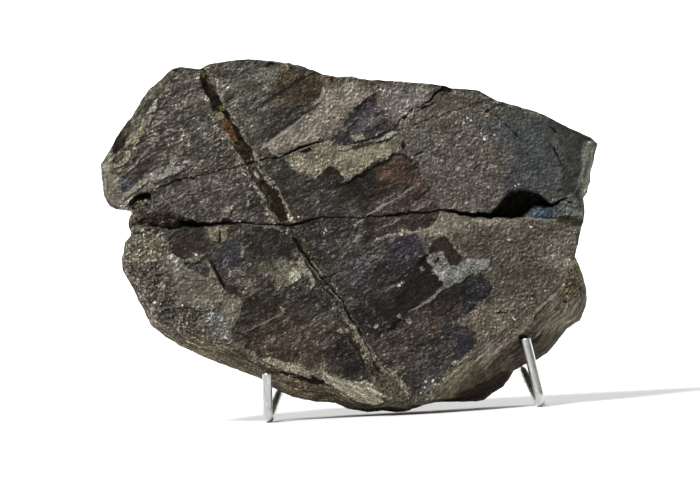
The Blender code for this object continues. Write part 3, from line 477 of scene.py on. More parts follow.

# Chips and pits with sharp edges: colour, then the outline
# Black for pits, holes and the ends of cracks: painted shade
JET = (22, 18, 13)
CHIPS = [
    ((168, 162, 150), [(145.5, 114.5), (150, 109), (154, 103.5), (157, 99.5), (160, 99), (158, 103),
     (156.5, 107), (154, 111), (150, 113)]),
    ((140, 136, 124), [(150, 114), (153, 115), (151, 120), (149, 124), (146, 126.5), (147, 121)]),
    ((138, 133, 112), [(131, 137), (136, 132), (141, 127.5), (147, 127), (151, 129), (149, 133), (144, 134),
     (141, 138), (140, 142), (135, 146), (131, 144)]),
    ((166, 158, 134), [(134, 138), (138, 136.5), (141, 139), (139, 143), (135, 144)]),
    ((150, 143, 122), [(112, 166), (120, 160), (126, 152), (131, 150), (131, 155), (126, 162), (120, 167),
     (113, 169)]),
    ((148, 139, 126), [(117, 178), (125, 171), (133, 166), (139, 159), (141.5, 160), (136, 167), (129, 172),
     (122, 177.5)]),
    ((140, 136, 122), [(122, 194), (128, 190), (136, 184), (144, 179), (149.5, 178), (146, 183), (139, 188),
     (131, 194), (124, 199), (118, 202)]),
    ((66, 67, 74), [(121, 186.5), (127, 185), (134, 183), (131, 187), (127, 190.5), (123.5, 191.5)]),
    ((148, 143, 135), [(153, 183), (158, 176), (166, 170), (171, 161.5), (176, 160.5), (174, 167),
     (182, 165.5), (188, 165), (180, 171), (172, 176), (163, 180), (157, 184)]),
    ((26, 25, 23), [(170.5, 69.5), (173, 66.5), (177, 68), (177.5, 71), (174, 72.5)]),
    ((42, 35, 31), [(111, 150), (116, 143), (121, 138), (126, 140), (124, 147), (119, 151), (114, 153)]),
    ((30, 25, 17), [(199, 73), (203.5, 76), (208.5, 84), (213.5, 90), (217.5, 97), (221.5, 104), (223.5, 110),
     (220, 111.5), (214, 109), (211, 101), (206.5, 94), (202.5, 86), (199.5, 79)]),
    ((70, 52, 36), [(206, 77), (210, 79), (214, 87), (212, 89), (208.5, 84)]),
    ((88, 82, 46), [(201, 72), (205, 71.5), (206, 75), (203, 77.5), (201, 75.5)]),
    ((148, 134, 120), [(210, 76), (213.5, 77.5), (215.5, 81), (213.5, 85), (211, 82)]),
    (JET, [(223.5, 111), (228, 109), (231, 115), (231, 121), (227, 120), (224.5, 116)]),
    ((108, 102, 52), [(221, 105.5), (225, 104), (227, 108), (224.5, 111), (221.5, 110.5)]),
    ((140, 131, 104), [(217, 113.5), (221, 111.5), (224.5, 114), (225, 118.5), (221, 121), (217, 118)]),
    ((104, 76, 50), [(221, 119.5), (227, 119), (231, 124), (235, 131), (237, 138), (233, 141), (229, 137),
     (225, 131), (222, 126)]),
    ((146, 126, 110), [(224, 130), (228, 133), (231, 138), (229, 141), (225, 136)]),
    ((28, 22, 14), [(230, 120), (233, 124), (238, 131), (244, 139), (251, 148), (253, 153), (249, 153),
     (242, 146), (237, 139), (233, 130)]),
    ((48, 42, 26), [(234, 141), (240, 140), (246, 147), (252, 154), (249, 159), (245, 163), (242, 160),
     (238, 153)]),
    ((38, 32, 20), [(251, 173), (256, 176.5), (262, 180.5), (269, 184.5), (274.5, 189), (281, 199),
     (286, 210), (288, 219), (283, 222), (277, 216), (270, 204), (263, 193), (256, 183)]),
    ((62, 58, 40), [(252, 173), (257, 177), (262, 184), (267, 193), (272, 203), (269, 203), (263, 193),
     (256, 183)]),
    ((162, 154, 140), [(269.5, 181), (272, 179), (275, 180.5), (275, 184), (271.5, 184.5)]),
    ((170, 163, 142), [(253.5, 173), (257, 173), (260, 176), (259, 178), (255, 176)]),
    ((112, 110, 97), [(256, 77), (258, 72.5), (264, 71), (270, 68), (276, 64), (284, 62.5), (290, 64),
     (288, 69), (281, 72), (275, 76), (273, 82), (269, 87), (266, 90), (263, 84), (262, 78)]),
    ((148, 142, 112), [(281, 63), (286, 62.5), (291, 64.5), (288, 68), (283, 67)]),
    ((32, 32, 23), [(262, 66), (268, 62.5), (275, 61.5), (274, 64.5), (268, 68)]),
    # Painted shade: the dark band above the film's raised rim
    ((46, 40, 34), [(264, 141), (270, 134), (280, 129), (290, 121), (296, 116), (300, 117), (292, 124),
     (285, 130), (276, 136), (268, 141)]),
    ((130, 110, 96), [(314, 100), (318, 99.5), (318, 103.5), (314.5, 104.5)]),
    ((112, 96, 80), [(322, 76), (327, 75.5), (331, 79), (330, 84), (326, 86), (322, 82)]),
    ((50, 38, 26), [(330, 77), (334, 77.5), (334, 82), (331, 83.5)]),
    ((96, 97, 93), [(361, 118), (366, 114), (372, 112.5), (376, 110), (373, 117), (369, 122), (366, 129),
     (361, 130), (357, 127), (359, 122)]),
    ((136, 132, 116), [(350, 135), (356, 133.5), (361, 132.5), (365, 136.5), (365, 140), (356, 141),
     (351, 139.5)]),
    ((130, 122, 112), [(342, 128), (346, 127), (348.5, 129.5), (346, 132), (343, 131)]),
    ((160, 160, 150), [(376, 139), (384, 135), (392, 132), (398, 130), (398, 133), (390, 137), (380, 141)]),
    ((146, 138, 116), [(337, 148), (343, 146), (350, 145.5), (352, 148), (346, 150), (339, 150.5)]),
    ((56, 52, 50), [(352, 146), (362, 144), (372, 141.5), (374, 143), (364, 148), (358, 151), (352, 150)]),
    (JET, [(332, 118), (334, 117), (335.5, 119), (333.5, 120)]),
    (JET, [(341, 119), (343, 118), (343.5, 120.5), (341.5, 121)]),
    (JET, [(401, 145.5), (403.5, 141.5), (406, 144.5), (404.5, 148), (401.5, 148)]),
    (JET, [(413.5, 154), (418, 151.5), (422, 149), (425, 150), (421, 153.5), (416, 155.5)]),
    (JET, [(419, 110), (423, 106.5), (429, 104), (435, 100.5), (435, 103), (429, 106.5), (423, 110)]),
    (JET, [(427, 102), (430, 97.5), (433.5, 93.5), (437.5, 91.5), (436, 95), (431, 99.5)]),
    (JET, [(402, 118), (404, 115), (407, 116), (405.5, 119.5)]),
    (JET, [(408, 113), (411, 108.5), (414.5, 107.5), (412, 112)]),
    (JET, [(442, 90), (445, 85.5), (449, 86), (452.5, 89), (449, 92), (444, 93)]),
    (JET, [(404, 189), (408, 185), (410.5, 184.5), (409, 188), (405.5, 191)]),
    (JET, [(414, 185.5), (418, 182.5), (420, 182.5), (417, 186.5)]),
    ((128, 118, 108), [(353, 226), (356, 224.5), (358, 227), (355, 229)]),
    ((180, 170, 146), [(399, 232), (402, 227.5), (404, 229), (402, 234), (400, 234.5)]),
    ((162, 154, 136), [(376.5, 239.5), (379, 237.5), (380, 240.5), (377.5, 241)]),
    (JET, [(300, 152.5), (304, 150), (311, 147.5), (312, 150), (308, 152.5), (302, 154)]),
    (JET, [(176.5, 181.5), (180, 179.5), (183.5, 180.5), (180, 182.5)]),
    (JET, [(187, 178.5), (192, 177), (196, 177.5), (192, 180)]),
    (JET, [(183.5, 170), (185.5, 170), (185.5, 172.5), (183.5, 172)]),
    (JET, [(222, 222), (224, 218.5), (228, 219), (232, 222), (230, 226), (224, 226)]),
    (JET, [(240, 224), (242, 219.5), (246, 220.5), (247, 224)]),
    ((136, 127, 114), [(221, 208.5), (228, 206), (233, 209), (230, 215), (226, 219), (221, 214)]),
    ((132, 126, 108), [(187, 259.5), (195, 257.5), (201, 256), (204, 255), (201, 258), (199, 262), (195, 263),
     (190, 261.5)]),
    ((152, 144, 128), [(193, 253), (196, 252.5), (198, 256), (195, 255.5)]),
    ((134, 126, 112), [(205, 261), (209, 262), (211, 265), (209, 267), (212, 271), (215, 274), (216, 278),
     (212, 277), (209, 275), (210, 270), (207, 266)]),
    (JET, [(207.5, 259), (210, 260), (215, 267), (219, 274), (222.5, 281), (227, 291.5), (224.5, 291),
     (220.5, 284), (216.5, 277), (211.5, 268)]),
    ((50, 43, 35), [(222, 282), (230, 285), (238, 288), (240, 294), (232, 295), (227, 292)]),
    ((130, 122, 101), [(209, 228), (218, 227.5), (228, 228), (228, 236), (225, 242), (218, 241), (212, 240),
     (208.5, 234)]),
    ((40, 34, 22), [(218.5, 232), (220.5, 232), (221.5, 240), (220, 246), (218.5, 240)]),
    ((62, 61, 65), [(228, 240), (236, 244), (238, 254), (232, 262), (227, 256), (225, 248)]),
    ((172, 168, 156), [(229, 272), (231, 270.5), (233, 273), (231, 276), (229, 275)]),
    ((128, 122, 110), [(240, 248), (243, 246.5), (244.5, 250), (243, 254), (244, 258.5), (240, 259),
     (241, 253)]),
    ((106, 104, 88), [(277, 264), (281, 262), (286, 263), (290, 265), (289, 268), (285, 272), (282, 275),
     (278, 274), (275, 271), (278, 268)]),
    ((112, 109, 95), [(279, 275), (284, 274), (290, 272), (292, 277), (291, 283), (286, 285), (282, 281)]),
    ((168, 164, 144), [(287, 276), (290, 271), (297, 270), (302, 271), (303, 274), (300, 277), (296, 280),
     (292, 283), (289, 280)]),
    ((124, 120, 100), [(274, 284), (277, 281), (282, 281), (284, 283), (282, 286), (277, 287), (274, 286)]),
    ((82, 78, 66), [(256, 270), (261, 265), (268, 262), (275, 265), (275, 271), (268, 272), (262, 273)]),
    ((116, 109, 95), [(232, 270), (237, 267), (241, 266), (240, 270), (236, 273), (233, 277), (231, 274)]),
    ((112, 106, 90), [(240, 279), (245, 278), (249, 281), (246, 285), (242, 284)]),
    ((130, 122, 110), [(279, 308), (281, 306.4), (284, 307.6), (287, 306.6), (286, 309), (283.4, 309.8),
     (284.4, 312.4), (282, 312)]),
    ((124, 118, 106), [(286, 294), (289, 293), (290, 297), (287.5, 298.5)]),
    ((158, 163, 166), [(209.5, 313), (211.5, 313), (212, 319), (210.5, 324), (209, 319)]),
    ((172, 168, 153), [(221, 338), (226, 336.5), (227, 339), (223, 341)]),
    ((150, 148, 140), [(214, 334), (218, 331), (219, 335), (216, 337)]),
    ((136, 130, 114), [(297, 262), (299, 257), (302, 256), (304, 260), (306, 264), (310, 270), (313, 276),
     (316, 281), (315, 286), (312, 289), (310, 286), (311, 281), (307, 276), (303, 272), (300, 267)]),
    ((130, 122, 110), [(293, 252.5), (296, 253), (297, 257), (294.5, 256.5)]),
    ((54, 46, 36), [(290, 236), (296, 236), (302, 246), (308, 254), (312, 262), (308.5, 262), (302, 254),
     (296, 246)]),
    ((84, 80, 60), [(302, 240), (305, 239), (309, 245), (310, 248.5), (306, 248), (303, 244)]),
    ((140, 132, 112), [(343, 312), (347, 311), (352, 320), (357, 328), (362, 336), (368, 345), (372, 355),
     (376, 362), (372, 362), (366, 352), (359, 343), (353, 333), (347, 323)]),
    ((62, 58, 46), [(338, 315), (344.5, 322), (351, 334), (358, 346), (363, 358), (361, 364), (355, 355),
     (348, 342), (342, 332), (337, 324)]),
    ((150, 140, 121), [(336, 331), (340, 328), (345, 329), (347, 333), (343, 332), (338, 331.5)]),
    ((166, 157, 138), [(396, 285), (399, 283.5), (401.5, 286), (399, 288.5), (397, 287.5)]),
    ((138, 132, 117), [(401, 282), (404, 281), (404, 284.5), (401, 284.5)]),
    ((128, 127, 116), [(424, 275), (427, 275), (427, 278), (424, 278)]),
    ((34, 28, 25), [(424, 258), (429, 257), (433, 262), (432, 268), (436, 274), (442, 280), (443, 286),
     (436, 291), (427, 298), (418, 305), (410, 311), (398, 318), (390, 321), (392, 310), (400, 300),
     (404, 290), (412, 278), (420, 270)]),
    ((106, 104, 87), [(419, 267), (421, 265.5), (422.5, 269), (420, 271.5)]),
    (JET, [(394, 300), (398, 296), (403.5, 292.5), (403, 299), (399, 303.5), (395, 303.5)]),
    (JET, [(424, 262), (428, 257), (432, 260), (432, 267), (427, 265)]),
    ((124, 122, 116), [(427, 256), (434, 254), (441, 252), (446, 255), (447, 262), (452, 267), (458, 266),
     (464, 262), (472, 261), (478, 260), (490, 258), (491, 262), (489, 268), (480, 273), (474, 277),
     (466, 278), (458, 284), (450, 288), (444, 288), (438, 294), (430, 299), (422, 306), (415, 309),
     (421, 303), (432, 295), (441, 288), (443, 283), (440, 278), (433, 273), (430, 270), (433, 267),
     (429, 262)]),
    ((152, 152, 145), [(432, 268), (438, 272), (444, 272), (448, 276), (447, 281), (441, 280), (436, 275)]),
    ((158, 158, 150), [(453, 272), (460, 268), (466, 270), (462, 276), (455, 280), (451, 277)]),
    ((152, 147, 139), [(476, 261), (484, 259.5), (489.5, 261), (487, 267), (480, 270), (477, 266)]),
    ((50, 41, 33), [(430, 250), (434, 243), (439, 237), (443, 235), (447, 238), (451, 242), (454, 247),
     (452, 251), (447, 256), (446, 259), (444, 252), (441, 249), (436, 253), (430, 254)]),
    ((46, 37, 31), [(448, 257), (452, 252), (457, 252), (461, 254), (462, 259), (459, 263), (455, 267),
     (451, 265), (448, 261)]),
    (JET, [(434, 261), (437, 257.5), (439, 259), (437, 262.5), (435, 263.5)]),
    ((44, 42, 34), [(448, 290), (458, 285), (466, 281), (468, 287), (460, 293), (450, 297)]),
    ((54, 44, 41), [(433, 304), (440, 301), (444, 305), (440, 311), (434, 310)]),
    ((46, 46, 52), [(460, 343), (468, 337), (475, 338), (474, 346), (470, 352), (464, 356), (458, 352)]),
    ((146, 146, 145), [(450, 364), (455, 361), (461, 360), (462, 363), (456, 365.5)]),
    ((166, 158, 147), [(373, 326), (375, 323.5), (377, 325), (376.5, 328), (373.5, 328.5)]),
    ((130, 120, 108), [(406, 320), (409, 319), (413, 321), (412, 324.5), (408, 323)]),
    ((130, 122, 110), [(397, 316), (400, 314.5), (402.5, 317), (400, 320), (398, 319)]),
    ((98, 93, 76), [(378, 377), (388, 373), (396, 380), (402, 390), (403, 396), (392, 397), (381, 393),
     (376, 385)]),
    ((152, 142, 128), [(386, 366), (391, 370), (396, 372), (398, 377), (402, 379), (405, 383), (406, 389),
     (407, 395), (404, 394), (402, 388), (399, 384), (396, 378), (391, 373)]),
    ((74, 62, 51), [(366, 368), (371, 366), (377, 371), (381, 376), (377, 381), (371, 380), (368, 375)]),
    ((118, 103, 88), [(370.5, 377), (375, 376.5), (376, 379.5), (372, 380)]),
    ((152, 143, 124), [(264, 358), (272, 358), (282, 360), (292, 364), (302, 368), (311, 372), (314, 377),
     (310, 381), (303, 377), (294, 373), (284, 370), (274, 367), (266, 364)]),
    (JET, [(281, 370), (286, 371), (294, 376), (302, 380), (308, 383), (303, 383), (296, 380), (288, 376),
     (281, 372)]),
    (JET, [(312, 377), (316, 378), (323, 383), (321, 385), (315, 384), (310, 382)]),
    ((186, 178, 155), [(328, 374), (336, 378), (345, 381), (355, 382), (362, 383), (368, 386), (372, 392),
     (378, 398), (385, 402), (375, 405), (362, 402), (350, 397), (340, 390), (330, 384), (322, 380)]),
    ((24, 23, 20), [(484.5, 111), (488, 109), (492, 109.5), (490, 112), (486, 113)]),
    ((128, 124, 112), [(495, 98.5), (500, 99.5), (504, 101.5), (501, 104), (496, 103)]),
    ((30, 30, 29), [(504, 124), (506, 123), (508, 126.5), (506, 127.5)]),
    ((30, 30, 29), [(515, 133), (517, 132), (517.5, 138), (515.5, 138.5)]),
    (JET, [(553.5, 148), (556, 150), (559.5, 156), (557, 156.5), (554, 152)]),
    (JET, [(549, 203), (552, 201.5), (554, 204), (551.5, 206.5)]),
    ((34, 34, 32), [(567.5, 201), (572.5, 200.8), (573, 202.5), (568, 202.8)]),
    (JET, [(470, 214.5), (478, 216), (486, 216), (480, 218.5), (473, 217.5)]),
    ((58, 58, 39), [(556, 219.5), (566, 218), (576, 218), (582, 222), (582, 226.5), (574, 225.5),
     (564, 222)]),
    ((130, 122, 112), [(541, 258), (545, 256), (548, 259), (545, 262), (541, 260)]),
    (JET, [(496, 311.5), (500, 311), (503, 312.5), (499, 313.5), (496, 313)]),
    ((112, 107, 88), [(553, 290), (557, 290.5), (550, 300.5), (541, 309), (530, 319), (521, 323), (528, 314),
     (540, 304)]),
    (JET, [(563, 301), (566, 298), (568, 302), (565, 304)]),
    (JET, [(578, 287), (582, 286), (583, 290), (579, 291)]),
    (JET, [(546.5, 307), (549, 305.5), (550.5, 307.5), (548, 309)]),
    (JET, [(555, 310), (558, 308.5), (559, 310.5), (556, 312)]),
    (JET, [(579, 308), (581, 308), (581, 312), (579, 312)]),
    # Painted shade: black in the pocket below the notch, and the shadow under the notch's overhang
    (JET, [(148, 223), (153, 222.5), (158, 226), (170, 226), (176, 225), (172, 229), (160, 229), (152, 227)]),
    (JET, [(146, 231), (150, 229.5), (154, 230.5), (150, 232.5)]),
    ((30, 26, 20), [(127, 202), (134, 196.5), (141, 192.5), (148, 191.5), (150.5, 193.5), (149.5, 198),
     (142, 200), (138, 199), (131, 206), (127, 206)]),
    # Painted shade: the underside at the lower right, dark where it lies in shadow
    ((44, 31, 18), [(442, 402), (455, 399), (465, 396), (470, 390), (478, 385), (488, 380), (500, 370),
     (511, 371), (508, 378), (500, 386), (490, 394), (484, 401), (460, 402)]),
    ((116, 105, 95), [(500, 331.5), (512, 325), (519, 323), (518, 330), (510, 339), (498, 348), (486, 356),
     (478, 363), (473, 366), (479, 359), (490, 346)]),
    # Painted contact shadow under the right hook's tip
    (JET, [(519, 335), (522.5, 333), (527, 335), (528, 340), (523, 341), (520, 340)]),
]

# Chips with every channel above this stand proud and get a painted shadow this far to their lower right
PALE_CHIP = 100
CHIP_SHADOW_BY = np.array((1.0, 1.5))

# The stained leaf: outlines of its film
FILM = [
    [(222, 62), (262, 61), (276, 75.3), (281.8, 69.2), (292, 65), (321, 73), (323.6, 84), (321.6, 98.8),
     (316.5, 107), (310.4, 114), (300, 118.2), (292, 125.3), (287, 131.4), (277.8, 136.5), (269.6, 141.6),
     (263.5, 145), (268, 151), (277, 156.4), (254, 162), (246, 150), (234, 128), (222, 104), (212, 80)],
    [(374.4, 97.6), (379.9, 105.8), (384.2, 112.3), (388.5, 121), (389.1, 127.5), (384.2, 133), (376.6, 137),
     (365.8, 139.8), (352, 142.4), (344.1, 145), (332.6, 146.4), (331.6, 140), (336.5, 132.9), (341.9, 128.5),
     (344.1, 121), (351.7, 113.4), (358.2, 107.4), (366.4, 100.8)],
    [(262, 160.4), (284.7, 157.5), (288, 165), (296.6, 172.5), (305, 174.5), (315, 178.5), (322, 172.4),
     (325, 168), (332.4, 165.5), (341, 168.7), (344, 177), (338, 186.6), (353, 177.4), (374.7, 164.9),
     (393, 153.8), (399.6, 153), (406, 156), (412.6, 161.7), (418, 168.4), (420.7, 175), (427.7, 182.1),
     (430.5, 193.3), (432, 201.7), (440.4, 210.6), (436.1, 222.8), (426.3, 227), (415.1, 230.6),
     (403.6, 228.2), (390, 235), (375, 241), (357, 251), (352, 250), (330, 262), (316, 265), (296, 237)],
    [(312, 262), (330, 262), (352, 251), (377, 243.4), (396, 236), (408, 233.6), (417.9, 234), (422.1, 241),
     (425, 252), (427, 256), (436, 266), (442, 276), (443, 285), (432, 295), (420, 304), (408.6, 312),
     (425, 303.6), (434, 296), (443.4, 288.7), (468.9, 279.7), (482.9, 274.6), (489.3, 281), (491.8, 290),
     (488, 298.9), (476.5, 304), (468.9, 311.6), (460, 319.3), (454.8, 323.4), (471.4, 329.5), (476.5, 333.3),
     (477.8, 339.7), (472.7, 348.6), (463.8, 356.3), (451, 367.8), (438.3, 380.5), (431.9, 388.2),
     (421.7, 394.5), (407.5, 394.5), (405, 384), (398, 375), (384, 366), (372, 350), (352, 316), (328, 282)],
    [(429, 247), (434, 239), (441, 234.6), (448, 238), (453.6, 246), (457, 252), (461.4, 257), (458, 265),
     (452, 267), (447, 261.6), (443.4, 252.7), (436, 251)],
    [(170.4, 241.8), (171.6, 235), (176, 230.6), (184, 227), (200, 226), (228, 226), (262, 226.5), (290, 227),
     (300, 243), (320, 276), (345, 317), (360, 340), (378, 368), (374, 380), (354, 380), (342, 377),
     (326, 371.6), (298, 363), (272, 361), (250, 350), (236, 341), (231, 335), (231, 330), (235, 323.3),
     (239.4, 315.3), (242, 307.2), (244.4, 300.4), (236, 295.8), (226.8, 294), (222.8, 284), (218, 276),
     (213.6, 266), (208, 262), (210.7, 275.1), (206, 276.4), (200.4, 272.8), (193.5, 269.4), (185.4, 262.5),
     (193.5, 263), (200.4, 259.5), (206, 254), (200.4, 255.6), (193.5, 257.3), (184.3, 260.2), (177, 255.6),
     (171.6, 249.8)],
    [(112.4, 160), (116, 153), (124, 147.5), (133, 143.4), (140, 135.6), (146, 128), (150, 116), (158, 103),
     (167, 88), (174, 76), (198, 72), (206, 84), (220, 116), (240, 155), (246, 165), (211, 173), (189.7, 177),
     (177, 181), (161, 187), (154, 188), (152, 182), (160, 174), (172, 164.6), (160, 167), (145.5, 174.6),
     (137.1, 181.4), (125.5, 190.8), (119.2, 183.1), (124, 176), (131.8, 168.4), (139.2, 163.2), (128, 168.5),
     (112.9, 173), (118, 169), (131, 160), (137, 152), (121, 160.4), (116, 165)],
    [(152, 191), (161, 188.5), (177, 182.5), (190, 178.7), (211, 175), (243, 167.6), (250, 168), (264, 192),
     (278, 218), (262, 223), (228, 222), (212, 223), (188, 217), (180, 212), (164, 211), (152, 206)],
]

# Outlines that both a colour and a grain fill
OLIVE_BAND = [(324, 150), (345, 150), (380, 144), (398, 140), (396, 150), (360, 166), (346, 168)]
BLUE_CORNER = [(500, 100), (560, 120), (562, 196), (530, 190), (505, 196), (508, 150)]
RIGHT_CORNER = [(548, 112), (594, 138), (580, 190), (564, 198), (563, 150), (546, 128)]
LEFT_TIP = [(90, 150), (116, 160), (118, 196), (112, 210), (90, 200)]
NOTCH_LIP = [(112, 200), (120, 194), (150, 177), (150, 190), (132, 197), (112, 208)]
PALE_LIP = [(323, 371), (350, 378), (378, 388), (388, 398), (350, 397), (334, 384)]

# Colours that patches of the bare rock take: outline, colour, softness of the edge in pixels, strength
ROCK = (97, 91, 81)
ROCK_PATCHES = [
    ([(106, 158), (150, 90), (200, 74), (246, 160), (200, 176), (160, 186), (120, 196)], (122, 115, 104), 12,
     .9),
    ([(152, 190), (246, 168), (284, 222), (200, 224), (152, 212)], (112, 105, 97), 8, .9),
    (LEFT_TIP, (136, 130, 114), 5, .9),
    ([(228, 55), (300, 55), (300, 70), (276, 75), (262, 100), (240, 110), (226, 90)], (82, 80, 73), 8, .8),
    ([(265, 60), (292, 62), (280, 72), (272, 84), (262, 95), (255, 84), (262, 72)], (112, 109, 98), 4, .7),
    ([(325, 86), (356, 84), (372, 94), (350, 112), (330, 134), (300, 147), (263, 153), (280, 136),
     (312, 114)], (142, 133, 120), 4, .9),
    ([(310, 144), (330, 138), (330, 146), (350, 146), (372, 142), (398, 134), (400, 152), (384, 156),
     (344, 182), (338, 176), (341, 168), (330, 164), (316, 176), (298, 172), (286, 158)], (132, 126, 108), 3,
     .95),
    (OLIVE_BAND, (140, 134, 112), 4, .6),
    ([(384, 86), (430, 90), (422, 110), (395, 128), (386, 110)], (132, 125, 118), 6, .9),
    ([(400, 132), (470, 112), (520, 130), (516, 180), (490, 208), (440, 206), (424, 176), (402, 152)],
     (96, 91, 84), 8, .9),
    (BLUE_CORNER, (72, 75, 75), 9, .95),
    (RIGHT_CORNER, (63, 63, 59), 3, 1),
    ([(460, 86), (500, 94), (540, 112), (520, 122), (480, 104)], (84, 84, 76), 6, .8),
    ([(478, 118), (512, 124), (508, 140), (486, 140)], (75, 78, 83), 5, .6),
    ([(441, 211), (470, 217), (489, 217.6), (520, 218), (520, 226), (470, 226), (455, 232), (430, 236),
     (405, 236), (428, 228), (437, 222)], (135, 130, 114), 3, .85),
    ([(430, 254), (443.4, 252.7), (447, 261.6), (454.8, 266.7), (476.5, 259), (490, 259), (489, 268),
     (471.4, 276.5), (451, 286.5), (431.9, 301.2), (407.7, 313), (425.5, 302.4), (442, 284), (430.6, 269.3)],
     (137, 134, 128), 2.5, .95),
    ([(455, 230), (560, 224), (578, 250), (566, 276), (540, 300), (505, 322), (488, 300), (492, 270),
     (470, 256)], (87, 81, 72), 9, .95),
    ([(484, 306), (520, 296), (514, 318), (480, 342), (478, 332), (456, 324)], (112, 105, 92), 5, .8),
    ([(540, 236), (580, 230), (576, 262), (560, 284), (545, 262)], (118, 111, 101), 8, .6),
    ([(120, 236), (172, 238), (178, 256), (190, 270), (172, 262), (140, 262), (122, 262)], (122, 117, 100), 6,
     .8),
    ([(168, 250), (186, 262), (192, 272), (180, 286), (168, 270)], (142, 139, 130), 5, .8),
    ([(180, 270), (214, 272), (224, 290), (222, 304), (200, 312), (182, 296)], (112, 107, 96), 7, .8),
    ([(130, 268), (172, 268), (186, 300), (196, 330), (170, 324), (148, 300)], (98, 92, 82), 9, .85),
    ([(221, 300), (227, 294), (245, 298), (242, 310), (233, 324), (232, 338), (222, 336), (214, 318)],
     (124, 119, 104), 3, .9),
    ([(205, 311), (222, 310), (228, 326), (228, 341), (214, 336)], (137, 136, 130), 5, .8),
    ([(205, 261), (214, 264), (215, 277), (206, 272)], (120, 116, 108), 2.5, .9),
    ([(184, 259.6), (201, 255.6), (206, 252.6), (201, 262), (190, 263.4)], (134, 129, 112), 2, 1),
    ([(228, 338), (262, 352), (300, 364), (330, 376), (320, 380), (280, 366), (240, 354)], (108, 104, 90), 4,
     .9),
    ([(275, 360), (300, 366), (316, 377), (311, 381), (282, 371), (268, 365)], (140, 132, 113), 3, .9),
    (PALE_LIP, (196, 188, 166), 4, .95),
    ([(378, 372), (398, 374), (405, 384), (407, 402), (386, 400), (372, 384)], (101, 96, 82), 4, .9),
    ([(150, 176), (172, 163), (182, 161), (166, 176), (156, 186)], (146, 141, 131), 4, .85),
    (NOTCH_LIP, (128, 124, 114), 3, .9),
    ([(121, 120), (134, 118), (133, 137), (120, 146), (114, 140)], (56, 53, 34), 5, .9),
    ([(134, 112), (150, 92), (168, 72), (174, 74), (160, 98), (147, 116), (134, 130)], (78, 77, 62), 4, .9),
    ([(111, 146), (120, 130), (127, 138), (120, 150), (113, 156)], (44, 37, 33), 3, .9),
    ([(130, 138), (142, 127), (152, 124), (144, 138), (134, 148)], (168, 162, 136), 4, .9),
    ([(143, 115), (158, 101), (154, 112), (150, 124), (144, 126)], (144, 141, 125), 3, .7),
    ([(150, 206), (200, 214), (226, 222), (178, 214), (152, 216)], (128, 121, 113), 5, .6),
    ([(152, 193), (176, 206), (188, 216), (160, 214), (152, 210)], (104, 96, 90), 4, .7),
    # Painted light: the notch's floor under the overhang, made pale where it is lit
    ([(122, 204), (131, 200), (150, 199.5), (151, 213), (138, 216), (120, 215)], (176, 165, 146), 2, .95),
    ([(150, 214), (172, 214), (190, 221), (204, 223), (190, 226), (172, 225), (148, 226)], (100, 88, 70), 2,
     .9),
    # Painted shade: the underside at the lower right, dark where it lies in shadow
    ([(429, 402), (458, 402), (476, 400), (512, 370), (512, 402), (470, 408)], (56, 41, 26), 3, 1),
    ([(441, 396), (462, 391), (478, 386), (511, 371), (502, 390), (484, 402), (440, 404)], (48, 35, 21), 3,
     1),
    ([(577, 256), (562, 268), (563, 296), (574, 304), (590, 292), (586, 268)], (91, 80, 55), 4, .95),
    ([(566, 252), (572, 262), (563, 282), (557, 289), (563, 272)], (145, 138, 124), 2.5, .8),
    ([(571, 262), (560, 286), (538, 308), (500, 330), (470, 354), (428, 396), (448, 398), (470, 378),
     (504, 348), (528, 330), (545, 308), (562, 288)], (124, 117, 101), 3, 1),
    ([(428, 396), (452, 370), (486, 344), (490, 356), (460, 388), (446, 400)], (118, 113, 92), 5, .8),
    ([(530, 328), (545, 306), (566, 298), (584, 304), (578, 322), (556, 332), (534, 340)], (116, 110, 92), 5,
     .9),
    ([(506, 350), (532, 336), (556, 334), (552, 344), (534, 362), (516, 370)], (66, 57, 42), 6, .9),
    ([(468, 384), (486, 366), (506, 350), (518, 366), (505, 376), (486, 382)], (78, 69, 54), 5, .9),
    ([(280, 372), (300, 378), (326, 386), (346, 398), (348, 412), (320, 404), (284, 396), (270, 380)],
     (116, 103, 80), 4, .9),
    ([(150, 328), (184, 334), (222, 344), (262, 366), (282, 376), (278, 394), (240, 374), (200, 358),
     (160, 338)], (98, 89, 70), 4, .95),
    ([(120, 262), (127, 262), (136, 282), (150, 306), (158, 320), (150, 328), (134, 300)], (104, 99, 89), 3,
     .8),
    ([(366, 398), (420, 400), (440, 402), (404, 412), (350, 412)], (94, 89, 76), 3, .8),
    ([(583, 140), (600, 140), (592, 190), (586, 226), (578, 226), (576, 200), (580, 178)], (115, 114, 104),
     1.6, 1),
    ([(555, 216), (586, 217), (586, 227), (568, 224), (555, 220.4)], (58, 60, 44), 2, .95),
    ([(524, 216), (536, 204), (552, 203), (554, 217), (540, 218.6)], (86, 100, 112), 3, 1),
    ([(552, 203), (578, 193), (579, 215), (553, 217)], (146, 151, 148), 3, .9),
]

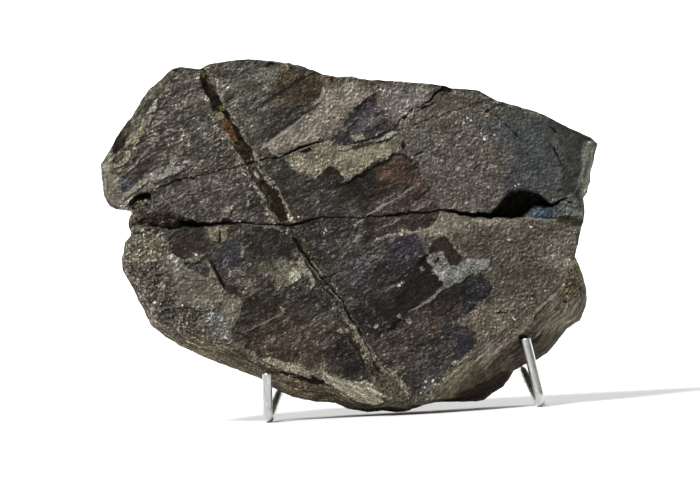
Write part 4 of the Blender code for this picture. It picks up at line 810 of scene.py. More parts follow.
# Colours that patches of the film take, in the same way
STAIN = (72, 66, 58)
STAIN_PATCHES = [
    ([(205, 60), (300, 55), (300, 110), (262, 162), (240, 150)], (93, 89, 80), 12, .95),
    ([(278, 72), (292, 64), (324, 74), (322, 98), (304, 108), (282, 106), (270, 98)], (71, 62, 47), 7, 1),
    ([(292, 80), (314, 74), (322, 90), (312, 100), (298, 98)], (68, 54, 37), 6, .6),
    ([(258, 108), (290, 104), (306, 112), (286, 132), (262, 144)], (60, 56, 50), 7, .8),
    ([(330, 96), (380, 92), (394, 128), (360, 150), (326, 150)], (66, 61, 62), 6, 1),
    ([(352, 112), (376, 100), (382, 112), (362, 122)], (80, 73, 80), 6, .8),
    ([(364, 116), (374, 112), (374, 122), (362, 134), (350, 142), (350, 134)], (100, 100, 94), 3, .75),
    ([(262, 156), (330, 160), (344, 214), (310, 230), (280, 222)], (56, 52, 47), 10, .9),
    ([(306, 190), (330, 188), (344, 212), (316, 218)], (56, 54, 52), 7, .7),
    ([(325, 164), (346, 166), (372, 176), (372, 196), (346, 204), (334, 186)], (33, 27, 21), 7, .95),
    ([(350, 176), (392, 152), (424, 176), (404, 200), (366, 210)], (41, 34, 28), 7, .9),
    ([(378, 166), (396, 152), (422, 172), (420, 186), (398, 188), (380, 184)], (88, 68, 57), 7, .9),
    ([(400, 186), (424, 180), (434, 202), (440, 212), (402, 216), (392, 206)], (74, 60, 56), 6, .9),
    ([(366, 206), (398, 190), (404, 206), (376, 218)], (88, 80, 74), 5, .7),
    ([(352, 226), (400, 214), (440, 212), (430, 230), (400, 230), (370, 242)], (60, 50, 43), 6, .9),
    ([(296, 226), (340, 218), (372, 224), (356, 246), (330, 262), (308, 258)], (51, 49, 47), 8, .9),
    ([(344, 234), (360, 234), (362, 250), (346, 254)], (100, 95, 88), 5, .6),
    ([(384, 240), (408, 232), (424, 236), (428, 256), (410, 268), (388, 262)], (61, 57, 62), 7, 1),
    ([(398, 236), (414, 234), (420, 250), (404, 256)], (61, 57, 64), 6, .6),
    ([(336, 256), (372, 250), (384, 270), (362, 290), (340, 282)], (80, 75, 78), 9, .9),
    ([(372, 262), (412, 262), (400, 282), (372, 300), (352, 300)], (43, 42, 41), 8, .8),
    ([(404, 276), (430, 256), (444, 280), (420, 302), (388, 320), (376, 312)], (35, 30, 27), 7, 1),
    ([(360, 300), (400, 290), (410, 320), (390, 345), (366, 340), (350, 314)], (34, 31, 28), 9, .95),
    ([(440, 288), (482, 273), (494, 292), (470, 312), (446, 318), (432, 304)], (41, 39, 42), 6, 1),
    ([(424, 304), (456, 292), (462, 316), (440, 322), (410, 324)], (50, 40, 38), 7, .8),
    ([(392, 322), (440, 322), (452, 340), (430, 368), (396, 366), (378, 350)], (68, 60, 54), 9, .9),
    ([(446, 322), (472, 330), (478, 342), (456, 352), (440, 340)], (54, 52, 57), 6, .9),
    ([(420, 344), (462, 348), (440, 378), (414, 392), (404, 376)], (57, 54, 52), 8, .9),
    ([(430, 230), (464, 250), (458, 270), (440, 256)], (44, 36, 30), 5, 1),
    ([(430, 374), (442, 372), (448, 378), (438, 390), (424, 396), (422, 386)], (92, 91, 87), 3, .7),
    ([(166, 226), (206, 224), (208, 256), (180, 264), (166, 250)], (55, 47, 41), 6, 1),
    ([(184, 256), (212, 258), (212, 278), (190, 272)], (70, 65, 61), 4, 1),
    ([(207, 226), (230, 226), (229, 242), (218, 246), (208, 240)], (130, 122, 101), 5, .85),
    ([(222, 240), (240, 238), (244, 272), (226, 276), (216, 262)], (66, 64, 69), 8, .95),
    ([(244, 226), (300, 226), (306, 258), (270, 262), (246, 256)], (43, 40, 36), 9, .95),
    ([(232, 268), (252, 266), (258, 286), (236, 290)], (82, 77, 70), 6, .7),
    ([(275, 262), (292, 262), (304, 272), (298, 280), (282, 284), (276, 276)], (118, 114, 98), 3, .95),
    ([(222, 286), (252, 290), (258, 306), (236, 310)], (50, 45, 39), 7, .9),
    ([(244, 300), (290, 286), (290, 318), (246, 330), (236, 326)], (57, 51, 41), 9, .9),
    ([(290, 278), (324, 280), (330, 312), (296, 314)], (50, 49, 47), 8, .9),
    ([(240, 332), (300, 314), (330, 330), (322, 366), (280, 362), (246, 350)], (80, 68, 58), 9, .95),
    ([(330, 330), (350, 336), (370, 368), (352, 380), (334, 372)], (37, 33, 31), 8, .95),
    ([(104, 130), (150, 110), (160, 150), (140, 196), (104, 190)], (80, 70, 65), 7, .9),
    ([(116, 182), (124, 178), (134, 184), (126, 194), (118, 190)], (62, 64, 73), 4, .9),
    ([(150, 70), (206, 66), (222, 108), (180, 124), (150, 136), (146, 118)], (97, 89, 81), 9, .9),
    ([(170, 122), (228, 104), (244, 150), (190, 170), (160, 166)], (82, 78, 71), 10, .9),
    ([(150, 186), (246, 166), (282, 222), (200, 222), (150, 210)], (88, 81, 76), 8, .9),
    ([(232, 172), (252, 168), (276, 216), (246, 222)], (56, 53, 47), 8, .8),
]

# The hidden back's colours, and the rise in millimetres over which they take over
BACK_FROM = (-3, -30)
BACK_BROWN = (88, 82, 70)
BACK_RUST = (104, 88, 64)

# Where rock shows through the film: outline, -1 for whole film to 1 for hardly any, softness
WORN_PATCHES = [
    ([(150, 112), (168, 106), (222, 108), (244, 150), (196, 168), (160, 166), (146, 140)], 0.50, 8),
    ([(168, 84), (176, 73), (200, 72), (212, 100), (190, 106), (168, 104)], -0.45, 6),
    ([(152, 186), (246, 168), (276, 220), (200, 221), (152, 208)], 0.30, 8),
    ([(284, 66), (322, 72), (322, 100), (300, 114), (280, 108), (268, 96)], -0.6, 5),
    ([(225, 64), (268, 62), (266, 92), (250, 104), (236, 100)], 0.15, 6),
    ([(258, 108), (300, 104), (280, 132), (258, 144)], -0.35, 5),
    ([(332, 100), (374, 96), (390, 128), (362, 136), (332, 146)], -0.4, 4),
    ([(362, 114), (376, 110), (374, 124), (350, 142), (348, 134)], 0.45, 3),
    ([(324, 162), (346, 166), (398, 150), (424, 178), (402, 200), (346, 206)], -0.65, 5),
    ([(400, 186), (428, 182), (440, 212), (400, 216)], -0.35, 5),
    ([(330, 198), (400, 198), (414, 216), (356, 221), (334, 216)], -0.55, 4),
    ([(296, 226), (372, 222), (362, 250), (330, 262), (308, 256)], 0.2, 6),
    ([(372, 226), (440, 212), (432, 230), (400, 230), (372, 240)], -0.3, 4),
    ([(384, 238), (424, 232), (428, 256), (400, 268), (384, 262)], -0.2, 5),
    ([(374, 292), (404, 276), (430, 256), (444, 282), (420, 302), (388, 322)], -0.65, 5),
    ([(440, 290), (486, 273), (492, 292), (464, 316), (440, 316)], -0.35, 4),
    ([(392, 326), (470, 332), (440, 378), (414, 392), (392, 366)], 0.15, 6),
    ([(430, 232), (462, 252), (456, 268), (430, 248)], -0.4, 4),
    ([(166, 226), (206, 226), (208, 258), (176, 260)], -0.55, 4),
    ([(207, 226), (236, 226), (238, 246), (214, 246)], 0.4, 4),
    ([(232, 262), (268, 264), (300, 284), (262, 292), (232, 286)], 0.35, 6),
    ([(240, 304), (290, 292), (290, 318), (246, 326)], -0.35, 5),
    ([(244, 326), (300, 312), (330, 330), (322, 366), (270, 362)], 0.15, 6),
    ([(112, 160), (150, 116), (152, 146), (124, 178)], 0.4, 5),
]

# How grainy the rock is, in relief and in looks, where it isn't 1: outline, grain, softness
GRAIN_PATCHES = [
    ([(325, 86), (372, 88), (350, 112), (330, 134), (300, 147), (263, 153), (280, 136), (312, 114)], 0.8, 4),
    (OLIVE_BAND, 0.55, 4),
    (BLUE_CORNER, 0.7, 6),
    (RIGHT_CORNER, 0.45, 3),
    ([(441, 211), (520, 218), (520, 226), (470, 226), (430, 236), (405, 236), (428, 228)], 0.7, 4),
    ([(120, 240), (172, 240), (226, 294), (232, 338), (200, 336), (150, 320), (120, 270)], 1.3, 6),
    ([(137, 262), (160, 262), (172, 288), (180, 312), (204, 336), (176, 326), (156, 308), (142, 286)], 1.9,
     4),
    ([(174, 256), (200, 270), (222, 286), (220, 298), (208, 308), (184, 304), (172, 282)], 0.75, 4),
    ([(224, 296), (246, 298), (240, 318), (226, 322), (218, 308)], 0.8, 3),
    ([(121, 226), (130, 224), (128, 262), (140, 290), (156, 316), (152, 326), (132, 300), (120, 262)], 1.6,
     3),
    ([(120, 200), (152, 192), (152, 210), (205, 222), (180, 234), (120, 236)], 1.9, 4),
    (LEFT_TIP, 0.5, 4),
    (NOTCH_LIP, 0.4, 3),
    ([(104, 160), (128, 120), (176, 64), (192, 74), (160, 98), (134, 130), (112, 160)], 0.6, 4),
    (PALE_LIP, 0.4, 4),
    ([(577, 250), (563, 279), (538, 308), (486, 342), (430, 396), (500, 410), (600, 330), (600, 250)], 0.35,
     3),
    ([(583, 130), (606, 140), (592, 226), (576, 226), (578, 196), (586, 170)], 0.4, 2),
    ([(570, 263), (577, 258), (590, 288), (584, 300), (566, 307), (561, 296)], 1.5, 2),
    ([(430, 402), (462, 397), (486, 384), (512, 370), (512, 388), (484, 404), (440, 406)], 1.2, 2),
]

# Strips with fine straight marks: outline, 1 for the right's direction or -1 for the left's, softness
PLANED_PATCHES = [
    ([(577, 252), (563, 278), (538, 307), (486, 341), (426, 398), (446, 404), (528, 332), (568, 274)], 1, 2),
    ([(566, 276), (530, 330), (486, 366), (520, 372), (560, 340), (588, 300)], 1, 4),
    ([(104, 164), (128, 118), (176, 64), (192, 74), (160, 98), (134, 130), (112, 164)], 1, 4),
    ([(322, 370), (350, 377), (380, 387), (392, 400), (350, 399), (332, 386)], -1, 3),
    ([(150, 327), (222, 344), (270, 362), (330, 386), (350, 402), (350, 412), (284, 402), (200, 362),
     (150, 338)], -1, 4),
]

# Parts that lie in deep shade: outline and strength. The edge is this soft, in pixels
SHADE_SOFT = 1.5
SHADES = [
    (ARCH, 0.95),
    ([(184, 218.5), (196, 220.5), (215, 222.4), (240, 222.6), (240, 225.2), (206, 225.8), (194, 224.6)], 0.8),
    ([(129, 204), (137.8, 194.4), (144, 192.3), (151, 192.6), (150, 199), (140.9, 197.6)], 0.9),
    ([(132, 223.5), (150, 221.5), (175, 222), (184, 226), (160, 227.8), (146, 226.4)], 0.35),
    ([(518.5, 334), (522, 332.6), (527.6, 337), (527, 341), (520, 343)], 0.9),
]

# Colours that the materials mix in, as linear red, green, blue and alpha
# Painted shade: the blacks for pits, crevices, strokes, drawn shadow lines and deep shade
PIT_SHADE_BLACK = (0.008, 0.007, 0.005, 1)
FILM_PIT_SHADE_BLACK = (0.008, 0.007, 0.006, 1)
CREVICE_SHADE_BLACK = (0.007, 0.006, 0.005, 1)
STROKE_SHADE_BLACK = (0.010, 0.009, 0.007, 1)
LINE_SHADE_BLACK = (0.005, 0.0045, 0.004, 1)
SHADE_BLACK = (0.003, 0.003, 0.002, 1)
GRAIN_PALE = (0.34, 0.32, 0.28, 1)
SPECK_PALE = (0.15, 0.145, 0.13, 1)
# A painted highlight for lit edges along drawn lines
LINE_HIGHLIGHT = (0.30, 0.28, 0.24, 1)
CRYSTAL_WHITE = (0.68, 0.68, 0.64, 1)
STEEL_DARK = (0.50, 0.50, 0.49, 1)
STEEL_PALE = (0.66, 0.66, 0.65, 1)
STEEL_SMUDGE = (0.36, 0.35, 0.33, 1)
FLOOR_PALE = (0.9, 0.9, 0.9, 1)
WHITE = (1, 1, 1, 1)

# Which field of a mesh attribute holds its values
FIELDS = {"FLOAT": "value", "FLOAT_VECTOR": "vector", "FLOAT_COLOR": "color"}

# The studio: the key light, how bright the surroundings are, half the floor's width, and the camera
KEY_FROM = (-0.45, -0.45, 0.77)
KEY_STRENGTH = 3.7
KEY_SPREAD = 18
SWEEP = 2.0
FRONT_ROOM = 0.12
UNLIT = 0.80
FLOOR_HALF = 6.0
SENSOR_WIDTH = 36.0
FAR_CLIP = 50.0

# The stand, in metres: where the rods' middle lines pass, as (pixel x, pixel y, how far behind the feet)
LEFT_ROD = {
    "tip": (267.3, 373.5, 0.0013), "foot": (267.6, 420.0, 0.0020), "under": (276.8, 396.5, 0.0330),
    "turn_back": 0.0465,
}
RIGHT_ROD = {
    "tip": (525.4, 338.5, 0.0034), "foot": (542.0, 403.5, 0.0020), "under": (525.0, 372.4, 0.0400),
    "turn_back": 0.0490,
}
ROD_SIDES = 28
ROD_TURN = math.radians(6)
ROD_CHAMFER = 0.0005
CHAMFER_SLOPE = 0.7
CUT_WITHIN = 1e-7
SHARP_ANGLE = math.radians(32)
SETTLE_ROUNDS = 8
FOOT_BEND = 0.0045
BACK_BEND = 0.0080
APEX_X = 0.0120
APEX_HEIGHT = 0.1180
APEX_CLEAR = 0.0426
APEX_LENGTH = 0.0140
REAR_FOOT = (0.0150, 0.1500)
REAR_BEND = 0.0100
FLAT_CUT = 0.00025


def sight(x, y):
    """How far the eye's line through a pixel moves right and up for each metre it goes back."""
    across = x - PICTURE_MIDDLE[0]
    down = y - PICTURE_MIDDLE[1]
    right = across * math.cos(ROLL) - down * math.sin(ROLL)
    up = -across * math.sin(ROLL) - down * math.cos(ROLL)
    return right * PIXEL / EYE_DISTANCE, up * PIXEL / EYE_DISTANCE


EYE_HEIGHT = -sight(*LEFT_FOOT_PIXEL)[1] * EYE_DISTANCE


def at_back(x, y, back):
    """The point that shows at a pixel and lies this far behind the front feet."""
    right, up = sight(x, y)
    reach = EYE_DISTANCE + back
    return Vector((MIDDLE_X + right * reach, FRONT_Y + back, EYE_HEIGHT + up * reach))


def on_slab(x, y, rise):
    """The points that show at pixels and lie this far in front of the slab's face plane, as rows."""
    right, up = sight(x, y)
    slope = math.tan(LEAN)
    back = FACE_BACK + (EYE_HEIGHT + up * EYE_DISTANCE) * slope - rise / math.cos(LEAN)
    back = back / (1.0 - up * slope)
    reach = EYE_DISTANCE + back
    return np.stack((MIDDLE_X + right * reach, FRONT_Y + back, EYE_HEIGHT + up * reach), axis=1)


def ease(low, high, value):
    """0 below low, 1 above high and a smooth rise between them."""
    t = np.clip((value - low) / (high - low), 0.0, 1.0)
    return t * t * (3.0 - 2.0 * t)


def dice(cell, seed):
    """A fixed random number from -1 to 1 for each row of three whole numbers."""
    mixed = (cell @ DICE_FACTORS + seed * DICE_SEED) & DICE_BITS
    mixed = ((mixed ^ (mixed >> 13)) * DICE_MIX) & DICE_BITS
    return (mixed ^ (mixed >> 16)) / 2.0 ** 31 - 1.0


def lumps(points, size, seed):
    """Smooth noise from -1 to 1 over the rows of points, with lumps of this size."""
    p = np.asarray(points, float) / size
    if p.shape[1] == 2:
        p = np.column_stack((p, np.zeros(len(p))))
    cell = np.floor(p).astype(np.int64)
    part = p - cell
    part = part * part * (3.0 - 2.0 * part)
    total = np.zeros(len(p))
    for corner in itertools.product((0, 1), repeat=3):
        weight = np.prod(np.where(corner, part, 1.0 - part), axis=1)
        total += dice(cell + np.array(corner), seed) * weight
    return total


def flakes(points, size, stretch, seed):
    """A level from -1 to 1 for each sharp-edged flake, with the flakes drawn out along the leaflets."""
    along = points @ np.array((math.cos(PINNA_ANGLE), math.sin(PINNA_ANGLE))) / (size * stretch)
    across = points @ np.array((-math.sin(PINNA_ANGLE), math.cos(PINNA_ANGLE))) / size
    p = np.column_stack((along, across))
    cell = np.floor(p).astype(np.int64)
    best = np.full(len(p), 1e9)
    level = np.zeros(len(p))
    for i, j in itertools.product((-1, 0, 1), repeat=2):
        at = np.column_stack((cell + np.array((i, j)), np.zeros(len(p), np.int64)))
        middle = at[:, :2] + 0.5 + FLAKE_SCATTER * np.column_stack((dice(at, seed), dice(at, seed + 1)))
        far = np.sum((p - middle) ** 2, axis=1)
        nearer = far < best
        best[nearer] = far[nearer]
        level[nearer] = dice(at[nearer], seed + 2)
    return level


def waves(points, sizes):
    """The sum of several sizes of lumps, each given as (height, size, seed)."""
    return sum(height * lumps(points, size, seed) for height, size, seed in sizes)


def nearest(points, line):
    """For each point, its distance from a line, 1 below it or -1 above it, and the line's other columns."""
    line = np.array(line, float)
    best = np.full(len(points), 1e9)
    side = np.ones(len(points))
    columns = np.zeros((len(points), line.shape[1] - 2))
    for a, b in zip(line, line[1:]):
        run = b[:2] - a[:2]
        t = np.clip((points - a[:2]) @ run / (run @ run), 0.0, 1.0)
        off = points - a[:2] - t[:, None] * run
        far = np.hypot(off[:, 0], off[:, 1])
        nearer = far < best
        best[nearer] = far[nearer]
        side[nearer] = np.sign(run[0] * off[nearer, 1] - run[1] * off[nearer, 0])
        columns[nearer] = (a[2:] + t[:, None] * (b[2:] - a[2:]))[nearer]
    return best, side, columns


def near_line(points, line, reach):
    """Which points lie in a line's box grown by a reach, so that the rest need no measuring."""
    line = np.array([p[:2] for p in line], float)
    low, high = line.min(axis=0) - reach, line.max(axis=0) + reach
    return np.all((points > low) & (points < high), axis=1)


def inside(points, shape):
    """True for each point inside a closed outline."""
    shape = np.array(shape, float)[:, :2]
    found = np.zeros(len(points), bool)
    for a, b in zip(shape, np.roll(shape, -1, axis=0)):
        if a[1] == b[1]:
            continue
        spans = (a[1] > points[:, 1]) != (b[1] > points[:, 1])
        meets = (b[0] - a[0]) * (points[:, 1] - a[1]) / (b[1] - a[1]) + a[0]
        found ^= spans & (points[:, 0] < meets)
    return found


def closed(shape):
    """An outline as a line that ends where it starts."""
    return list(shape) + [shape[0]]


def inward(points, shape):
    """Distance of each point from a closed outline, positive inside it."""
    far = nearest(points, closed(shape))[0]
    return np.where(inside(points, shape), far, -far)


def inward_near(points, shape, reach):
    """The same as inward where the outline is near, and minus the reach elsewhere."""
    found = np.full(len(points), -float(reach))
    close = near_line(points, shape, reach)
    found[close] = np.maximum(inward(points[close], shape), -reach)
    return found


def wobbled(points):
    """Points moved a little, so that what is drawn at them comes out ragged."""
    moved = points
    for reach, size, seed in WOBBLES:
        moved = moved + reach * np.column_stack((lumps(points, size, seed), lumps(points, size, seed + 1)))
    return moved


def film_inward(points):
    """Distance inside the leaf's film in pixels, negative outside it."""
    drawn_at = wobbled(points)
    found = np.max([inward_near(drawn_at, shape, FILM_REACH) for shape in FILM], axis=0)
    return found + waves(points, FILM_WAVES)


def patched(points, base, patches):
    """A level at each point: the base, and inside each patch's outline the patch's own level."""
    level = np.full(len(points), float(base))
    for shape, value, soft in patches:
        level += (value - level) * ease(-soft, soft, inward_near(points, shape, soft + 1))
    return level


def coarseness(points):
    """How grainy the rock is: 1 for most of it."""
    return patched(points, 1, GRAIN_PATCHES)


def crack_width(points, columns):
    """A crack's ragged half width at points near it."""
    return columns[:, 0] * (1 + waves(points, CRACK_WAVES))


def midrib_share(points, drawn_at):
    """Distance from the midrib as a share of its ragged half width, and the groove's depth there."""
    far, _, columns = nearest(drawn_at, MIDRIB)
    return far / columns[:, 0] * (1 + waves(points, RIB_EDGE_WAVES)), columns[:, 1]


def face_rise(points, film):
    """Height of the face above its plane, in millimetres, at pixels."""
    rise = waves(points, FACE_WAVES)
    drawn_at = wobbled(points)
    far, side, _ = nearest(drawn_at, LEDGE)
    reached = ease(*LEDGE_LEFT, points[:, 0]) * ease(*LEDGE_RIGHT, points[:, 0])
    rise += LEDGE_RISE * (ease(-LEDGE_EDGE, LEDGE_EDGE, far * side) - 0.5) * reached * ease(*LEDGE_FADE, far)
    bare = ease(FILM_EDGE, -FILM_EDGE, film)
    rise += FILM_DEPTH * (bare - 1)
    rise += (0.5 + 0.5 * bare) * coarseness(points) ** 1.5 * waves(points, GRAIN_WAVES)
    rise += (1 - bare) * sum(height * flakes(drawn_at, *kind) for height, kind in FILM_FLAKES)
    rise += bare * sum(height * flakes(drawn_at, *kind) for height, kind in ROCK_FLAKES)
    for line in STEPS:
        close = near_line(points, line, 3 * STEP_REACH)
        far, side, columns = nearest(drawn_at[close], line)
        step = STEP_HEIGHT * columns[:, 0] * (ease(-STEP_EDGE, STEP_EDGE, far * side) - 0.5)
        rise[close] += step * np.exp(-far / STEP_REACH)
    share, groove = midrib_share(points, drawn_at)
    rise -= groove * ease(*RIB_GROOVE, share) * (1 + waves(points, RIB_FLOOR_WAVES))
    clods = np.maximum(0, lumps(points, 5, 39) + 0.4)
    rise += BANK_RISE * ease(*BANK_INNER, share) * ease(*BANK_OUTER, share) * clods
    far, side, _ = nearest(points, BEVEL_LINE)
    lower_right = ease(*BEVEL_FROM_X, points[:, 0]) * ease(*BEVEL_FROM_Y, points[:, 1])
    rise -= BEVEL_FALL * far * (side < 0) * lower_right
    for shape, depth in HOLLOWS:
        deep = ease(-HOLLOW_WALL / 2, HOLLOW_WALL / 2, inward_near(drawn_at, shape, HOLLOW_REACH))
        floor = waves(points, HOLLOW_WAVES) - depth
        rise = rise * (1 - deep) + floor * deep
    for line in CRACKS:
        close = near_line(points, line, CRACK_REACH)
        far, _, columns = nearest(drawn_at[close], line)
        width = crack_width(points[close], columns)
        opened = rise[close] - columns[:, 1] * ease(*CRACK_WALL, far / width)
        rise[close] = np.where(far < CRACK_EDGE * width, opened, rise[close])
    return rise


def back_depth(points):
    """How far the slab's rough back lies behind the face plane, in millimetres, at pixels."""
    tilt = (points - SLAB_CENTRE) @ np.array((THICKER_RIGHT, THICKER_DOWN)) / (SLAB_PIXELS / 2)
    layer = (THICKNESS + tilt + waves(points, BACK_WAVES)) / LAYER
    stepped = np.floor(layer) + ease(*LAYER_RISER, layer % 1.0)
    return LAYER * (LAYER_STEPPED * stepped + LAYER_SLOPED * layer) + waves(points, BACK_LUMPS)


def to_middle(points):
    """The direction from each point to the slab's middle."""
    towards = SLAB_CENTRE - points
    return towards / np.hypot(*towards.T)[:, None]


def rim_stations(step):
    """The rim with more stations, about a step apart along the outline, as rows."""
    rim = np.array(RIM, float)
    rows = []
    for a, b in zip(rim, np.roll(rim, -1, axis=0)):
        count = max(1, round(math.dist(a[2:4], b[2:4]) / step))
        rows += [a + (b - a) * i / count for i in range(count)]
    rows = np.array(rows)
    chips = waves(rows[:, 2:4], RIM_WAVES)
    towards = to_middle(rows[:, 2:4])
    rows[:, 2:4] += towards * (chips + RIM_INSET)[:, None]
    rows[:, 0:2] += towards * chips[:, None]
    return rows


def along(line, step, offsets):
    """Points a step apart along a line, each repeated at sideways offsets."""
    rows = []
    for a, b in zip(line, line[1:]):
        a, b = np.array(a[:2], float), np.array(b[:2], float)
        length = math.dist(a, b)
        across = np.array((a[1] - b[1], b[0] - a[0])) / length
        count = max(1, round(length / step))
        rows += [a + (b - a) * i / count + across * offset for i in range(count) for offset in offsets]
    return rows


def line_points():
    """Points along everything drawn on the face, so that its triangles follow the lines."""
    rows = []
    for line in CRACKS:
        widest = max(p[2] for p in line)
        rows += along(line, LINE_STEP, [offset * widest for offset in CRACK_OFFSETS])
    for _, _, line in SHADOW_LINES + HIGHLIGHT_LINES:
        rows += along(line, LINE_STEP, LINE_OFFSETS)
    for _, shape in CHIPS:
        rows += along(closed(shape), LINE_STEP, CHIP_OFFSETS)
    for x, y in CRYSTALS:
        rows += [(x + right, y + down) for right, down in CRYSTAL_OFFSETS]
    for shape, _ in HOLLOWS:
        rows += along(closed(shape), LINE_STEP, HOLLOW_OFFSETS)
    for line in STEPS:
        rows += along(line, LINE_STEP, STEP_OFFSETS)
    rows = np.array(rows)
    return 2 * rows - wobbled(rows)


def apart(points, least):
    """Drops each point that lies too near an earlier one."""
    cells = {}
    kept = []
    for p in points:
        cx, cy = int(p[0] // least), int(p[1] // least)
        around = (q for i in (-1, 0, 1) for j in (-1, 0, 1) for q in cells.get((cx + i, cy + j), ()))
        if all((p[0] - q[0]) ** 2 + (p[1] - q[1]) ** 2 > least * least for q in around):
            cells.setdefault((cx, cy), []).append(p)
            kept.append(p)
    return np.array(kept)


def fill_points(outline, step, lines, rng):
    """Evenly scattered points inside an outline, with the points of its lines among them."""
    low, high = outline.min(axis=0), outline.max(axis=0)
    xs = np.arange(low[0], high[0], step)
    ys = np.arange(low[1], high[1], step * ROW_PITCH)
    grid = np.array([(x + (row % 2) * step / 2, y) for row, y in enumerate(ys) for x in xs])
    grid += rng.uniform(-GRID_JITTER, GRID_JITTER, grid.shape) * step
    grid = grid[inward(grid, outline) > EDGE_CLEAR * step]
    if not len(lines):
        return grid
    lines = lines[inward(lines, outline) > EDGE_CLEAR * step]
    lines = apart(lines, LINE_APART * LINE_STEP)
    tree = KDTree(len(lines))
    for number, p in enumerate(lines):
        tree.insert((p[0], p[1], 0.0), number)
    tree.balance()
    clear = np.array([tree.find((p[0], p[1], 0.0))[2] > LINE_CLEAR * step for p in grid])
    return np.vstack((lines, grid[clear]))


def triangles_inside(outline, points):
    """Triangles over the outline's points followed by the points inside it."""
    everything = np.vstack((outline, points))
    loop = list(range(len(outline)))
    found = delaunay_2d_cdt([Vector(p) for p in everything], [], [loop], INSIDE_ONLY, MERGE_WITHIN)
    if len(found[0]) != len(everything):
        raise ValueError("the triangulation added or merged a point")
    order = [group[0] for group in found[3]]
    return everything, [[order[i] for i in face] for face in found[2]]


def slab_side(stations, edge_rise):
    """Rows of (x, y, depth) down the side, from just below the face's edge to the back's edge."""
    edge, out, depth = stations[:, :2], stations[:, 2:4], stations[:, 4]
    start = -edge_rise + FACE_LIP
    towards = to_middle(out)
    inset = BACK_INSET + BOTTOM_INSET * np.maximum(0, towards[:, 1]) + END_INSET * np.abs(towards[:, 0])
    inset += waves(out, INSET_WAVES)
    deepest = np.maximum(depth + SIDE_DEEPER, back_depth(out) - SIDE_SHORT)
    rows = []
    for i in range(1, FLANK_ROWS + 1):
        t = i / FLANK_ROWS
        row = np.column_stack((edge + (out - edge) * t ** FLANK_OUT,
                               start + (depth - start) * t ** FLANK_DOWN))
        rows.append((row, min(1.0, FLANK_FADE * (1.0 - t))))
    for i in range(1, SIDE_ROWS + 1):
        t = i / SIDE_ROWS
        to = out + towards * (inset * t ** SIDE_IN)[:, None]
        row = np.column_stack((to, depth + (deepest - depth) * math.sin(t * math.pi / 2) ** SIDE_DOWN))
        rows.append((row, min(1.0, SIDE_FADE * t)))
    shaped = []
    for row, amount in rows:
        broken = np.abs(waves(row, SIDE_HOLLOWS)) - SIDE_LOSS + waves(row, SIDE_WAVES)
        row[:, :2] += towards * (amount * (broken + waves(row, SIDE_GRAIN)))[:, None]
        row[:, 2] += amount * waves(row, SIDE_DEPTH_WAVES)
        shaped.append(row)
    return shaped


def slab_mesh():
    """The slab's points as (pixel x, pixel y, rise in millimetres), its faces, and its side's place."""
    rng = np.random.default_rng(SCATTER_SEED)
    stations = rim_stations(RIM_STEP)
    count = len(stations)
    edge = stations[:, :2]
    flat, faces = triangles_inside(edge, fill_points(edge, FACE_STEP, line_points(), rng))
    rise = face_rise(flat, film_inward(flat))
    edge_rise = rise[:count].copy()
    rise[:count] -= FACE_LIP
    points = [np.column_stack((flat, rise))]
    previous = np.arange(count)
    start = len(flat)
    side = (start, count)
    for row in slab_side(stations, edge_rise):
        ring = np.arange(start, start + count)
        for i in range(count):
            j = (i + 1) % count
            faces += [[previous[i], ring[i], ring[j]], [previous[i], ring[j], previous[j]]]
        points.append(np.column_stack((row[:, :2], -row[:, 2])))
        previous = ring
        start += count
    rear_loop = points[-1][:, :2]
    flat, rear_faces = triangles_inside(rear_loop, fill_points(rear_loop, BACK_STEP, [], rng))
    middle = flat[count:]
    points.append(np.column_stack((middle, waves(middle, BACK_GRAIN) - back_depth(middle))))
    faces += [[previous[i] if i < count else start + i - count for i in face] for face in rear_faces]
    return np.vstack(points), faces, side


def linear(colour):
    """The surface colour, as linear red, green and blue, that the studio shows as a colour from 0 to 255."""
    c = np.array(colour, float) / 255
    return UNLIT * np.where(c <= 0.04045, c / 12.92, ((c + 0.055) / 1.055) ** 2.4)


def blended(tint, colour, share):
    """Colours moved towards another by each point's share."""
    return tint + (linear(colour) - tint) * share[:, None]


def painted(points, base, patches, seed):
    """The colour of each point, from patches laid over a base colour."""
    tint = np.tile(linear(base), (len(points), 1))
    ragged = waves(points, ((2.2, 9, seed), (1.2, 4, seed + 1)))
    for shape, colour, soft, strength in patches:
        close = near_line(points, shape, soft + 4)
        far = inward(points[close], shape) + ragged[close] * min(1.0, soft / 4)
        tint[close] = blended(tint[close], colour, strength * ease(-soft, soft, far))
    return tint


def drawn(points, lines, seed):
    """Distance inside the drawn lines in pixels, negative outside them, and the strength of the nearest."""
    depth = np.full(len(points), -LINE_REACH)
    strength = np.zeros(len(points))
    for width, strong, line in lines:
        close = np.flatnonzero(near_line(points, line, LINE_REACH))
        at = points[close]
        found = width * (LINE_FULL + LINE_SWELL * lumps(at, 5.5, seed)) - nearest(at, line)[0]
        better = found > depth[close]
        depth[close[better]] = found[better]
        strength[close[better]] = strong
    return depth, strength


def chipped(points, chips):
    """Distance inside the nearest chip, negative outside, and its colour. Later chips lie on top."""
    depth = np.full(len(points), -LINE_REACH)
    tint = np.zeros((len(points), 3))
    for colour, shape in chips:
        close = np.flatnonzero(near_line(points, shape, LINE_REACH))
        found = inward(points[close], shape)
        on_top = (found > -CHIP_OVER) | (found > depth[close])
        tint[close[on_top]] = linear(colour)
        depth[close] = np.maximum(depth[close], found)
    return depth, tint


